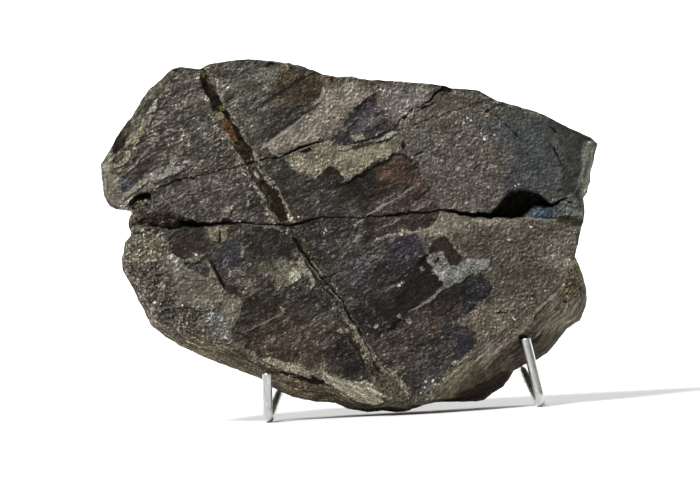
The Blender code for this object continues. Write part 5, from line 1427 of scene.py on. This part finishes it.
def midrib_colours(points, tint):
    """The rock's colours with the midrib's laid over them, its share of each point, and its banks' share."""
    share = midrib_share(points, wobbled(points))[0]
    upper = ease(*UPPER_RIB, points[:, 1])
    band = ease(*DARK_BAND, share)
    tint = blended(tint, RIB_DARK, band * upper)
    rust = inward_near(points, RUST, 8) + 2 * lumps(points, 5, 74)
    tint = blended(tint, RIB_RUST, 0.9 * ease(-2, 2, rust) * band)
    lower = (1 - upper) * ease(*PALE_BAND, share)
    tint = blended(tint, RIB_PALE, 0.85 * lower)
    dark = lower * ease(-0.35, 0.1, lumps(points, 9, 72)) * ease(*OLIVE_RIB, points[:, 1])
    tint = blended(tint, RIB_OLIVE, 0.9 * dark)
    banks = ease(*FLECKS_INNER, share) * ease(*FLECKS_OUTER, share) * upper
    flecks = ease(-0.25, 0.1, lumps(points, 3.4, 73))
    tint = blended(tint, BANK_PALE, 0.85 * banks * flecks)
    shown = np.maximum(np.maximum(band * upper, lower), 0.9 * banks * flecks)
    return tint, shown, ease(*COARSE_BANKS, share)


def nearest_spot(points, spots):
    """The distance from each point to the nearest of a few spots."""
    return np.min([np.hypot(*(points - spot).T) for spot in spots], axis=0)


def set_attribute(mesh, name, kind, values):
    made = mesh.attributes.new(name, kind, "POINT")
    made.data.foreach_set(FIELDS[kind], np.asarray(values, np.float32).ravel())


def wear(points):
    """How far rock shows through the film: -1 for whole film to 1 for hardly any."""
    ragged = 2 * lumps(points, 8, 87)
    worn = np.zeros(len(points))
    for shape, value, soft in WORN_PATCHES:
        worn += value * ease(-soft, soft, inward_near(points, shape, soft + 1) + ragged)
    return worn


def rock_colours(spots, ahead):
    """The bare rock's colours, on the face and behind, and the shares of the midrib and of its banks."""
    flat = spots[:, :2]
    rock, rib, banks = midrib_colours(flat, painted(flat, ROCK, ROCK_PATCHES, 81))
    behind = ease(*BACK_FROM, spots[:, 2]) * ~ahead
    rock = blended(rock, BACK_BROWN, 0.8 * behind)
    rusty = behind * ease(0.05, 0.5, lumps(spots, 34, 89))
    rock = blended(rock, BACK_RUST, 0.6 * rusty)
    return rock * (1 + 0.35 * behind * lumps(spots, 52, 88))[:, None], rib, banks


def shaded_lines(points, drawn_at):
    """Painted shade of the drawn lines and the cracks: distance inside them, and their strength."""
    dark, strength = drawn(drawn_at, SHADOW_LINES, 85)
    for line in CRACKS:
        close = np.flatnonzero(near_line(points, line, CRACK_REACH + 1))
        far, _, columns = nearest(drawn_at[close], line)
        found = CRACK_SHADE * crack_width(points[close], columns) - far
        better = found > dark[close]
        dark[close[better]] = found[better]
        strength[close[better]] = 1.0
    return dark, strength


def add_slab_looks(mesh, spots, start, count):
    """Puts the looks on the slab's points, whose side rings start at a point and have this many each."""
    flat = spots[:, :2]
    number = np.arange(len(flat))
    ahead = number < start + FLANK_ROWS * count
    beside = (number >= start) & (number < start + (FLANK_ROWS + SIDE_ROWS) * count)
    drawn_at = wobbled(flat)
    rock, rib, banks = rock_colours(spots, ahead)
    # Painted shade over the parts listed in SHADES
    painted_shade = np.zeros(len(flat))
    for shape, strength in SHADES:
        deep = ease(-SHADE_SOFT, SHADE_SOFT, inward_near(drawn_at, shape, 6))
        painted_shade = np.maximum(painted_shade, strength * deep)
    # Painted shade along the cracks and the drawn shadow lines
    dark, line_shade_share = shaded_lines(flat, drawn_at)
    # Painted highlights along the edges that face the light
    bright, highlight_share = drawn(drawn_at, HIGHLIGHT_LINES, 86)
    chip, chip_tint = chipped(drawn_at, CHIPS)
    chip_shadow, _ = chipped(drawn_at - CHIP_SHADOW_BY, [pale for pale in CHIPS if min(pale[0]) > PALE_CHIP])
    crystal = 0.9 - nearest_spot(drawn_at, CRYSTALS)
    levels = {
        "film": np.where(ahead, film_inward(flat), -FILM_REACH) - 14 * rib,
        "worn": wear(flat),
        "grain": coarseness(flat) + 0.7 * banks * ahead,
        "planed": patched(flat, 0, PLANED_PATCHES),
        "beside": beside,
        "painted_shade": painted_shade * ahead,
        "dark": dark,
        "line_shade_share": line_shade_share * ahead,
        "bright": bright,
        "highlight_share": highlight_share * ahead,
        "chip": np.where(ahead, chip, -LINE_REACH),
        "chip_shadow": np.where(ahead, chip_shadow, -LINE_REACH),
        "crystal": np.where(ahead, crystal, -LINE_REACH),
    }
    set_attribute(mesh, "spot", "FLOAT_VECTOR", spots * np.array((1, 1, 2)))
    for name, values in levels.items():
        set_attribute(mesh, name, "FLOAT", values)
    tints = {"rock_tint": rock, "film_tint": painted(flat, STAIN, STAIN_PATCHES, 83), "chip_tint": chip_tint}
    for name, tint in tints.items():
        set_attribute(mesh, name, "FLOAT_COLOR", np.column_stack((tint, np.ones(len(tint)))))


def build_slab():
    spots, faces, side = slab_mesh()
    points = on_slab(spots[:, 0], spots[:, 1], spots[:, 2] * MM)
    low, high = (np.array(corner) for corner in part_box("fossil_plate"))
    points = np.clip(points, low, high)
    mesh = bpy.data.meshes.new("fossil_slab")
    mesh.from_pydata(points.tolist(), [], faces)
    bm = bmesh.new()
    bm.from_mesh(mesh)
    bmesh.ops.recalc_face_normals(bm, faces=bm.faces[:])
    bm.to_mesh(mesh)
    bm.free()
    add_slab_looks(mesh, spots, *side)
    mesh.shade_smooth()
    slab = bpy.data.objects.new("fossil_slab", mesh)
    bpy.context.scene.collection.objects.link(slab)
    slab.data.materials.append(rock_material())
    return slab


class Shader:
    """A material's nodes, made one call at a time."""

    def __init__(self, name):
        self.material = bpy.data.materials.new(name)
        self.material.use_nodes = True
        self.tree = self.material.node_tree
        self.surface = self.tree.nodes["Principled BSDF"]

    def feed(self, socket, value):
        if isinstance(value, bpy.types.NodeSocket):
            self.tree.links.new(value, socket)
        else:
            socket.default_value = value

    def node(self, kind, settings=None, **inputs):
        made = self.tree.nodes.new(kind)
        for name, value in (settings or {}).items():
            setattr(made, name, value)
        for name, value in inputs.items():
            self.feed(made.inputs[name.replace("_", " ")], value)
        return made

    def attribute(self, name, output="Fac"):
        return self.node("ShaderNodeAttribute", {"attribute_name": name}).outputs[output]

    def math(self, operation, a, b=0.0):
        made = self.node("ShaderNodeMath", {"operation": operation})
        self.feed(made.inputs[0], a)
        self.feed(made.inputs[1], b)
        return made.outputs[0]

    def times(self, a, b):
        return self.math("MULTIPLY", a, b)

    def span(self, value, low, high, to_low=0.0, to_high=1.0):
        """A value from low to high moved to another span, with soft ends."""
        made = self.node("ShaderNodeMapRange", {"interpolation_type": "SMOOTHSTEP"})
        for name, given in zip(("Value", "From Min", "From Max", "To Min", "To Max"),
                               (value, low, high, to_low, to_high)):
            self.feed(made.inputs[name], given)
        return made.outputs["Result"]

    def mix(self, share, a, b, blend="MIX"):
        made = self.node("ShaderNodeMix", {"data_type": "RGBA", "blend_type": blend})
        self.feed(made.inputs["Factor"], share)
        self.feed(made.inputs[6], a)
        self.feed(made.inputs[7], b)
        return made.outputs[2]

    def sum(self, *parts, offset=0.0):
        """The sum of parts given as (value, factor), and an offset."""
        total = offset
        for value, factor in parts:
            made = self.node("ShaderNodeMath", {"operation": "MULTIPLY_ADD"})
            for socket, given in zip(made.inputs, (value, factor, total)):
                self.feed(socket, given)
            total = made.outputs[0]
        return total

    def brighter(self, colour, stops):
        """A colour made brighter by this many stops, each of which doubles it."""
        scale = self.math("POWER", 2.0, stops)
        made = self.node("ShaderNodeVectorMath", {"operation": "SCALE"})
        self.feed(made.inputs[0], colour)
        self.feed(made.inputs["Scale"], scale)
        return made.outputs[0]

    def noise(self, where, scale, detail=2.0, rough=0.5):
        made = self.node("ShaderNodeTexNoise", Vector=where, Scale=scale, Detail=detail, Roughness=rough)
        return made.outputs["Fac"]

    def terraces(self, value, levels):
        """A value turned into flat levels with narrow steps between them, and where those steps are."""
        scaled = self.times(value, levels)
        part = self.math("FRACT", scaled)
        step = self.span(part, 0.84, 1.0)
        edge = self.times(self.times(step, self.math("SUBTRACT", 1.0, step)), 4.0)
        return self.math("ADD", self.math("FLOOR", scaled), step), edge

    def painted_shading(self, where, apart, scale, detail, rough):
        """Painted light and shade on small chips lit from the upper left: a noise's rise across each point.
        """
        beyond = self.node("ShaderNodeVectorMath", {"operation": "ADD"}, Vector=where)
        beyond.inputs[1].default_value = apart
        there = self.noise(beyond.outputs["Vector"], scale, detail, rough)
        return self.math("SUBTRACT", there, self.noise(where, scale, detail, rough))

    def turned(self, where, angle, scale):
        """Coordinates turned about the face's normal and stretched, for streaks along a direction."""
        made = self.node("ShaderNodeMapping", {"vector_type": "TEXTURE"}, Vector=where)
        made.inputs["Rotation"].default_value = (0, 0, angle)
        made.inputs["Scale"].default_value = scale
        return made.outputs["Vector"]


def rock_material():
    """Grey-brown granular rock, with the leaf's smooth dark film over part of it. Scales are per pixel."""
    # Painted light and shade here: chip sides, pits, crevices, cracks, deep shade, chip shadows and edge
    # highlights
    s = Shader("fossil_rock_surface")
    spot = s.attribute("spot", "Vector")
    film = s.attribute("film")
    along_leaf = s.turned(spot, PINNA_ANGLE, (3.2, 1.0, 1.0))
    fine = s.span(s.noise(spot, 0.66, 1.0, 0.6), 0.40, 0.60, -1.0, 1.0)
    grain = s.noise(spot, 0.45, 2.0, 0.6)
    grains = s.span(grain, 0.42, 0.58, -1.0, 1.0)
    clumps = s.noise(spot, 0.20, 3.0, 0.62)
    clumped = s.span(clumps, 0.42, 0.58, -1.0, 1.0)
    blotches = s.noise(spot, 0.075, 4.0, 0.68)
    broad = s.noise(spot, 0.11, 1.0, 0.5)
    streaks = s.noise(along_leaf, 0.42, 2.5, 0.6)
    bands = s.noise(s.turned(spot, PINNA_ANGLE, (6.0, 1.0, 1.0)), 0.11, 3.0, 0.6)
    hues = s.node("ShaderNodeTexNoise", Vector=spot, Scale=0.16, Detail=3.0, Roughness=0.6).outputs["Color"]

    leaf_steps = s.noise(s.turned(spot, PINNA_ANGLE, (3.6, 1.0, 1.0)), 0.10, 4.0, 0.6)
    leaf_layer, leaf_edge = s.terraces(leaf_steps, 7.0)
    rock_steps = s.noise(s.turned(spot, PINNA_ANGLE, (1.5, 1.0, 1.0)), 0.10, 4.0, 0.62)
    rock_layer, rock_edge = s.terraces(rock_steps, 9.0)

    ragged = s.sum((s.noise(along_leaf, 0.30, 3.0, 0.65), 3.0), (grain, 2.4), offset=-2.7)
    film_share = s.span(s.math("ADD", film, ragged), -0.4, 0.4)

    planed = 0.0
    for angle, way in ((PLANED_ANGLE, 1.0), (LOWER_ANGLE, -1.0)):
        marks = s.noise(s.turned(spot, angle, (14.0, 1.0, 1.0)), 0.36, 2.0, 0.6)
        share = s.math("MAXIMUM", s.times(s.attribute("planed"), way), 0.0)
        planed = s.math("ADD", s.times(s.math("SUBTRACT", marks, 0.5), share), planed)
    bedding = s.noise(s.turned(spot, 0.0, (7.0, 7.0, 1.6)), 0.40, 3.0, 0.6)
    bedding = s.times(s.math("SUBTRACT", bedding, 0.5), s.attribute("beside"))
    coarse = s.attribute("grain")
    rough = s.math("MAXIMUM", 0.0, s.math("SUBTRACT", coarse, 1.0))
    # Painted light and shade of small and large chips, lit from the upper left
    small_chip_shading = s.painted_shading(spot, (0.9, 1.1, 0.0), 0.33, 3.0, 0.75)
    large_chip_shading = s.painted_shading(spot, (1.8, 2.2, 0.0), 0.15, 3.0, 0.7)
    chip_shading = s.sum((small_chip_shading, s.span(clumps, 0.38, 0.6, 5.0, 11.0)),
                      (large_chip_shading, s.sum((rough, 5.0), offset=1.6)))
    # Grain tone with the painted chip shading in it
    grain_and_shading = s.sum((chip_shading, 1.0), (fine, 0.4), (clumped, 0.2))
    grain_and_shading = s.times(grain_and_shading, s.span(coarse, 0.0, 1.5, 0.2, 1.3))
    uneven_rock = s.times(blotches, s.sum((rough, 5.0), offset=4.6))
    # The tone holds the painted chip shading, and painted shade along the steps between the rock's layers
    rock_tone = s.sum((grain_and_shading, 1.0), (uneven_rock, 1.0), (rough, -2.6), (planed, 5.0), (bedding, 6.5),
                      (rock_edge, -1.1), offset=-2.54)
    rock = s.brighter(s.attribute("rock_tint", "Color"), rock_tone)
    # Painted shade in the rock's pits, which the bump also dents
    pits = s.noise(spot, 0.42, 2.5, 0.6)
    pit = s.span(s.sum((rough, -0.07), offset=pits), 0.39, 0.34)
    pit = s.times(pit, s.span(coarse, 0.3, 1.6, 0.0, 0.75))
    rock = s.mix(pit, rock, PIT_SHADE_BLACK)
    pale = s.span(s.sum((rough, 0.06), offset=pits), 0.62, 0.66)
    pale = s.times(pale, s.span(coarse, 0.3, 1.6, 0.0, 0.3))
    rock = s.mix(pale, rock, GRAIN_PALE)

    uneven = s.span(s.attribute("worn"), -0.6, -0.3, 0.5, 1.12)
    # leaf_edge darkens the film's layer steps: painted shade
    streaky = s.sum((s.span(streaks, 0.4, 0.6, -1.0, 1.0), 0.35), (bands, 5.4), (leaf_layer, 0.22),
                    (leaf_edge, -1.4), offset=-3.3)
    streaky = s.times(streaky, uneven)
    # Painted light and shade of flakes drawn out along the leaflets
    streak_shading = s.painted_shading(s.turned(spot, PINNA_ANGLE, (2.2, 1.0, 1.0)), (0.3, 1.2, 0.0), 0.33, 3.0, 0.75)
    streak_shading = s.times(s.times(streak_shading, uneven), s.span(blotches, 0.42, 0.60, 1.8, 6.2))
    stain_tone = s.sum((streak_shading, 1.0), (chip_shading, 0.9), (fine, 0.45), (clumped, 0.25), (blotches, 4.8),
                       (streaky, 0.75), offset=-2.8)
    stain = s.brighter(s.attribute("film_tint", "Color"), stain_tone)
    # Dark strokes where the chip shading is darkest: painted shade
    shaded_strokes = s.times(s.span(chip_shading, -0.7, -1.3, 0.0, 0.6), s.span(blotches, 0.40, 0.55))
    rock = s.mix(shaded_strokes, rock, STROKE_SHADE_BLACK)
    # Painted shade in the crevices along the film's layer steps
    split = s.times(leaf_edge, s.span(blotches, 0.46, 0.54, 0.0, 0.85))
    stain = s.mix(split, stain, CREVICE_SHADE_BLACK)
    # Painted shade in the film's pits
    stain = s.mix(s.span(pits, 0.38, 0.34, 0.0, 0.5), stain, FILM_PIT_SHADE_BLACK)
    specks = s.span(s.noise(spot, 0.5, 1.0, 0.5), 0.66, 0.71)
    specks = s.times(specks, s.span(blotches, 0.46, 0.56, 0.0, 0.6))
    stain = s.mix(specks, stain, SPECK_PALE)
    # Dark gouges where the chip and streak shading are darkest: painted shade
    shaded_gouges = s.span(s.sum((chip_shading, 0.9), offset=streak_shading), -0.7, -1.4, 0.0, 0.6)
    stain = s.mix(shaded_gouges, stain, CREVICE_SHADE_BLACK)
    worn = s.sum((streaks, 5.0), (grain, 1.5), (clumps, 5.0), (s.attribute("worn"), 1.0), offset=-6.5)
    worn = s.span(worn, 0.0, 0.35, 0.0, 0.8)

    colour = s.mix(film_share, rock, s.mix(worn, stain, s.brighter(rock, 0.35)))
    colour = s.mix(0.14, colour, hues, "OVERLAY")
    ragged_line = s.sum((fine, 0.2), (grains, 0.3))
    chip = s.sum((ragged_line, 0.9), offset=s.attribute("chip"))
    chip_share = s.span(chip, -0.35, 0.35)
    # Painted shadow beside the pale chips, to their lower right
    chip_shadow = s.span(s.sum((ragged_line, 0.9), offset=s.attribute("chip_shadow")), -0.6, 0.3, 0.0, 0.75)
    colour = s.mix(chip_shadow, colour, CREVICE_SHADE_BLACK)
    chip_tone = s.sum((planed, 5.0), (fine, 0.8), (grains, 0.35), (clumped, 0.3), (blotches, 1.6),
                      (streaky, 0.3), offset=-1.2)
    colour = s.mix(chip_share, colour, s.brighter(s.attribute("chip_tint", "Color"), chip_tone))
    # Painted highlights along the drawn lines on lit edges
    bright = s.span(s.math("ADD", s.attribute("bright"), ragged_line), -0.5, 0.3)
    bright = s.times(bright, s.attribute("highlight_share"))
    colour = s.brighter(colour, s.times(bright, 0.5))
    colour = s.mix(s.times(bright, 0.75), colour, LINE_HIGHLIGHT)
    # Painted shade in the cracks and along the drawn shadow lines
    dark = s.span(s.math("ADD", s.attribute("dark"), ragged_line), -0.5, 0.3)
    dark = s.times(dark, s.attribute("line_shade_share"))
    colour = s.mix(dark, colour, LINE_SHADE_BLACK)
    # Painted shade over those parts, lifted a little where the chip shading is bright
    crumbs = s.span(chip_shading, 0.2, 1.1, 1.0, 0.9)
    colour = s.mix(s.times(s.attribute("painted_shade"), crumbs), colour, SHADE_BLACK)
    crystal = s.span(s.math("ADD", s.attribute("crystal"), ragged_line), -0.4, 0.4, 0.0, 0.9)
    colour = s.mix(crystal, colour, CRYSTAL_WHITE)
    s.feed(s.surface.inputs["Base Color"], colour)

    s.feed(s.surface.inputs["Roughness"], s.span(film_share, 0, 1, 0.92, 0.68))
    s.surface.inputs["Specular IOR Level"].default_value = 0.12

    lumpy = s.times(s.noise(spot, 0.24, 1.0, 0.5), s.sum((rough, 1.6), offset=1.0))
    ribbed = s.noise(along_leaf, 0.30, 1.0, 0.5)
    rock_height = s.sum((lumpy, 0.7), (broad, 0.8), (rock_layer, 0.16), (pit, -0.12), (bedding, 0.9))
    film_height = s.sum((ribbed, 0.5), (broad, 0.8), (leaf_layer, 0.2), (worn, 0.15), (split, -0.12))
    height = s.node("ShaderNodeMix", {"data_type": "FLOAT"})
    s.feed(height.inputs[0], film_share)
    s.feed(height.inputs[2], rock_height)
    s.feed(height.inputs[3], film_height)
    lined = s.sum((height.outputs[0], 1.0), (dark, -0.5), (bright, 0.3), (chip_share, 0.1))
    bump = s.node("ShaderNodeBump", Strength=1.0, Distance=0.0016, Height=lined)
    s.feed(s.surface.inputs["Normal"], bump.outputs["Normal"])
    return s.material


def rounded(corners, bends, turn):
    """A path through corners with each inner corner bent to a radius, as points a small turn apart."""
    path = [corners[0]]
    for before, corner, after, bend in zip(corners, corners[1:], corners[2:], bends):
        towards, away = (before - corner).normalized(), (after - corner).normalized()
        half = towards.angle(away) / 2
        centre = corner + (towards + away).normalized() * (bend / math.sin(half))
        first = (corner + towards * (bend / math.tan(half)) - centre).normalized()
        last = (corner + away * (bend / math.tan(half)) - centre).normalized()
        steps = max(2, math.ceil(first.angle(last) / turn))
        path += [centre + first.slerp(last, i / steps) * bend for i in range(steps + 1)]
    return path + [corners[-1]]


def slab_back_at(height, clear):
    """The Y of the plane that lies this far behind the slab's face plane, at a height."""
    return FRONT_Y + FACE_BACK + height * math.tan(LEAN) + clear / math.cos(LEAN)


def arm_path(rod, side):
    """A stand arm: hook tip, foot, under the slab, up its back and to the top. Side is -1 left, 1 right."""
    tip, foot, under = (at_back(*rod[key]) for key in ("tip", "foot", "under"))
    ahead = under - foot
    turn = foot + ahead * ((FRONT_Y + rod["turn_back"] - foot.y) / ahead.y)
    top_x = APEX_X + side * (ROD_WIDTH + TOUCH) / 2
    top = Vector((top_x, slab_back_at(APEX_HEIGHT, APEX_CLEAR), APEX_HEIGHT))
    end = top + Vector((0, math.sin(LEAN), math.cos(LEAN))) * APEX_LENGTH
    bends = (FOOT_BEND, BACK_BEND, BACK_BEND)
    for _ in range(SETTLE_ROUNDS):
        path = rounded([tip, foot, turn, top, end], bends, ROD_TURN)
        foot.z += ROD_WIDTH / 2 - FLAT_CUT - min(point.z for point in path)
    return path


def rear_path():
    """The rear leg: its top nestles behind the arms' tops, then it runs down and back to the table."""
    behind = (ROD_WIDTH + TOUCH) * math.sqrt(3) / 2
    out = Vector((0, math.cos(LEAN), -math.sin(LEAN))) * behind
    up = Vector((0, math.sin(LEAN), math.cos(LEAN)))
    corner = Vector((APEX_X, slab_back_at(APEX_HEIGHT, APEX_CLEAR), APEX_HEIGHT)) + out
    foot = Vector((REAR_FOOT[0], FRONT_Y + REAR_FOOT[1], 0))
    below = foot + (foot - corner).normalized() * ROD_WIDTH
    return rounded([corner + up * APEX_LENGTH, corner, below], (REAR_BEND,), ROD_TURN)


def with_chamfers(path):
    """The path with an extra point just inside each end, and each point's share of the rod's full width."""
    first = path[0] + (path[1] - path[0]).normalized() * ROD_CHAMFER
    last = path[-1] + (path[-2] - path[-1]).normalized() * ROD_CHAMFER
    narrow = 1 - 2 * ROD_CHAMFER * CHAMFER_SLOPE / ROD_WIDTH
    points = [path[0], first] + path[1:-1] + [last, path[-1]]
    return points, [narrow, 1.0] + [1.0] * (len(path) - 2) + [1.0, narrow]


def build_rod(name, path, finish, room):
    """A round rod along a path with softened ends, flat where it stands on the table, kept inside a box."""
    points, widths = with_chamfers(path)
    bm = bmesh.new()
    run_layer = bm.verts.layers.float_vector.new("rod_spot")
    across = (points[1] - points[0]).orthogonal().normalized()
    rings = []
    run = 0.0
    for i, (point, width) in enumerate(zip(points, widths)):
        before = (point - points[i - 1]).normalized() if i else (points[1] - point).normalized()
        after = (points[i + 1] - point).normalized() if i + 1 < len(points) else before
        run += (point - points[i - 1]).length if i else 0.0
        tangent = (before + after).normalized()
        across = (across - tangent * across.dot(tangent)).normalized()
        other = tangent.cross(across)
        ring = []
        for k in range(ROD_SIDES):
            angle = 2 * math.pi * (k + 0.5) / ROD_SIDES
            round_part = (across * math.cos(angle) + other * math.sin(angle)) * width
            vertex = bm.verts.new(point + round_part * ROD_WIDTH / 2)
            vertex[run_layer] = (math.cos(angle) * width, math.sin(angle) * width, run / ROD_WIDTH * 2)
            ring.append(vertex)
        rings.append(ring)
    for a, b in zip(rings, rings[1:]):
        for k in range(ROD_SIDES):
            bm.faces.new((a[k], a[(k + 1) % ROD_SIDES], b[(k + 1) % ROD_SIDES], b[k]))
    bm.faces.new(list(reversed(rings[0])))
    bm.faces.new(rings[-1])
    cut = bmesh.ops.bisect_plane(
        bm, geom=bm.verts[:] + bm.edges[:] + bm.faces[:], dist=CUT_WITHIN, plane_co=(0, 0, 0),
        plane_no=(0, 0, -1), clear_outer=True
    )
    rims = [item for item in cut["geom_cut"] if isinstance(item, bmesh.types.BMEdge)]
    bmesh.ops.edgeloop_fill(bm, edges=rims)
    bmesh.ops.recalc_face_normals(bm, faces=bm.faces[:])
    low, high = room
    for vertex in bm.verts:
        vertex.co = [min(max(value, least), most) for value, least, most in zip(vertex.co, low, high)]
    mesh = bpy.data.meshes.new(name)
    bm.to_mesh(mesh)
    bm.free()
    mesh.shade_smooth()
    mesh.set_sharp_from_angle(angle=SHARP_ANGLE)
    mesh.materials.append(finish)
    rod = bpy.data.objects.new(name, mesh)
    bpy.context.scene.collection.objects.link(rod)
    return rod


def steel_material():
    """Drawn steel rod: fine lines along it and faint smudges."""
    s = Shader("brushed_steel_surface")
    where = s.attribute("rod_spot", "Vector")
    lines_at = s.node("ShaderNodeMapping", {"vector_type": "POINT"}, Vector=where)
    lines_at.inputs["Scale"].default_value = (14, 14, 0.5)
    lines = s.noise(lines_at.outputs["Vector"], 1.0, 3.0, 0.6)
    smudge = s.noise(where, 0.7, 3.0, 0.55)
    tone = s.mix(s.span(lines, 0.3, 0.7), STEEL_DARK, STEEL_PALE)
    tone = s.mix(s.span(smudge, 0.55, 0.75, 0.0, 0.4), tone, STEEL_SMUDGE)
    s.feed(s.surface.inputs["Base Color"], tone)
    s.surface.inputs["Metallic"].default_value = 1.0
    s.feed(s.surface.inputs["Roughness"], s.span(smudge, 0.3, 0.7, 0.24, 0.42))
    bump = s.node("ShaderNodeBump", Strength=0.5, Distance=0.00006, Height=lines)
    s.feed(s.surface.inputs["Normal"], bump.outputs["Normal"])
    return s.material


def build_stand():
    steel = steel_material()
    paths = {
        "left_arm": arm_path(LEFT_ROD, -1), "right_arm": arm_path(RIGHT_ROD, 1), "rear_leg": rear_path(),
    }
    for node, path in paths.items():
        rod = build_rod("steel_" + node, path, steel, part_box(node))
        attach(rod, "root")
        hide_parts(node)


def build_floor():
    """A wide pale table top."""
    mesh = bpy.data.meshes.new("table_top")
    corners = [(x * FLOOR_HALF, y * FLOOR_HALF, 0) for x, y in ((-1, -1), (1, -1), (1, 1), (-1, 1))]
    mesh.from_pydata(corners, [], [(0, 1, 2, 3)])
    floor = bpy.data.objects.new("table_top", mesh)
    bpy.context.scene.collection.objects.link(floor)
    paint = bpy.data.materials.new("table_white")
    paint.use_nodes = True
    shader = paint.node_tree.nodes["Principled BSDF"]
    shader.inputs["Base Color"].default_value = FLOOR_PALE
    shader.inputs["Roughness"].default_value = 0.9
    shader.inputs["Specular IOR Level"].default_value = 0.0
    mesh.materials.append(paint)


def build_world():
    """A white studio: a bright sweep behind the object, and a dimmer room in front of it and overhead."""
    world = bpy.data.worlds.new("studio")
    bpy.context.scene.world = world
    world.use_nodes = True
    tree = world.node_tree
    place = tree.nodes.new("ShaderNodeTexCoord")
    split = tree.nodes.new("ShaderNodeSeparateXYZ")
    tree.links.new(place.outputs["Generated"], split.inputs[0])
    behind = tree.nodes.new("ShaderNodeMapRange")
    behind.interpolation_type = "SMOOTHSTEP"
    behind.inputs["From Min"].default_value = 0.0
    behind.inputs["From Max"].default_value = 0.5
    behind.inputs["To Min"].default_value = FRONT_ROOM
    behind.inputs["To Max"].default_value = SWEEP
    tree.links.new(split.outputs["Y"], behind.inputs["Value"])
    tree.links.new(behind.outputs["Result"], tree.nodes["Background"].inputs["Strength"])
    tree.nodes["Background"].inputs["Color"].default_value = WHITE


def add_sun(name, direction, strength, spread):
    data = bpy.data.lights.new(name, "SUN")
    data.energy = strength
    data.angle = math.radians(spread)
    light = bpy.data.objects.new(name, data)
    light.rotation_euler = Vector(direction).to_track_quat("Z", "Y").to_euler()
    bpy.context.scene.collection.objects.link(light)


def build_camera():
    data = bpy.data.cameras.new("camera")
    data.sensor_width = SENSOR_WIDTH
    data.lens = SENSOR_WIDTH * (EYE_DISTANCE / PIXEL) / IMAGE_WIDTH
    data.clip_end = FAR_CLIP
    camera = bpy.data.objects.new("camera", data)
    right = Vector((math.cos(ROLL), 0, -math.sin(ROLL)))
    up = Vector((math.sin(ROLL), 0, math.cos(ROLL)))
    back = Vector((0, -1, 0))
    turn = Matrix((right, up, back)).transposed().to_4x4()
    camera.matrix_world = Matrix.Translation((MIDDLE_X, FRONT_Y - EYE_DISTANCE, EYE_HEIGHT)) @ turn
    bpy.context.scene.collection.objects.link(camera)
    bpy.context.scene.camera = camera


build_camera()
build_floor()
build_world()
add_sun("key_light", KEY_FROM, KEY_STRENGTH, KEY_SPREAD)
bpy.context.scene.view_settings.view_transform = "Standard"

slab = build_slab()
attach(slab, "root")
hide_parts("fossil_plate")
build_stand()
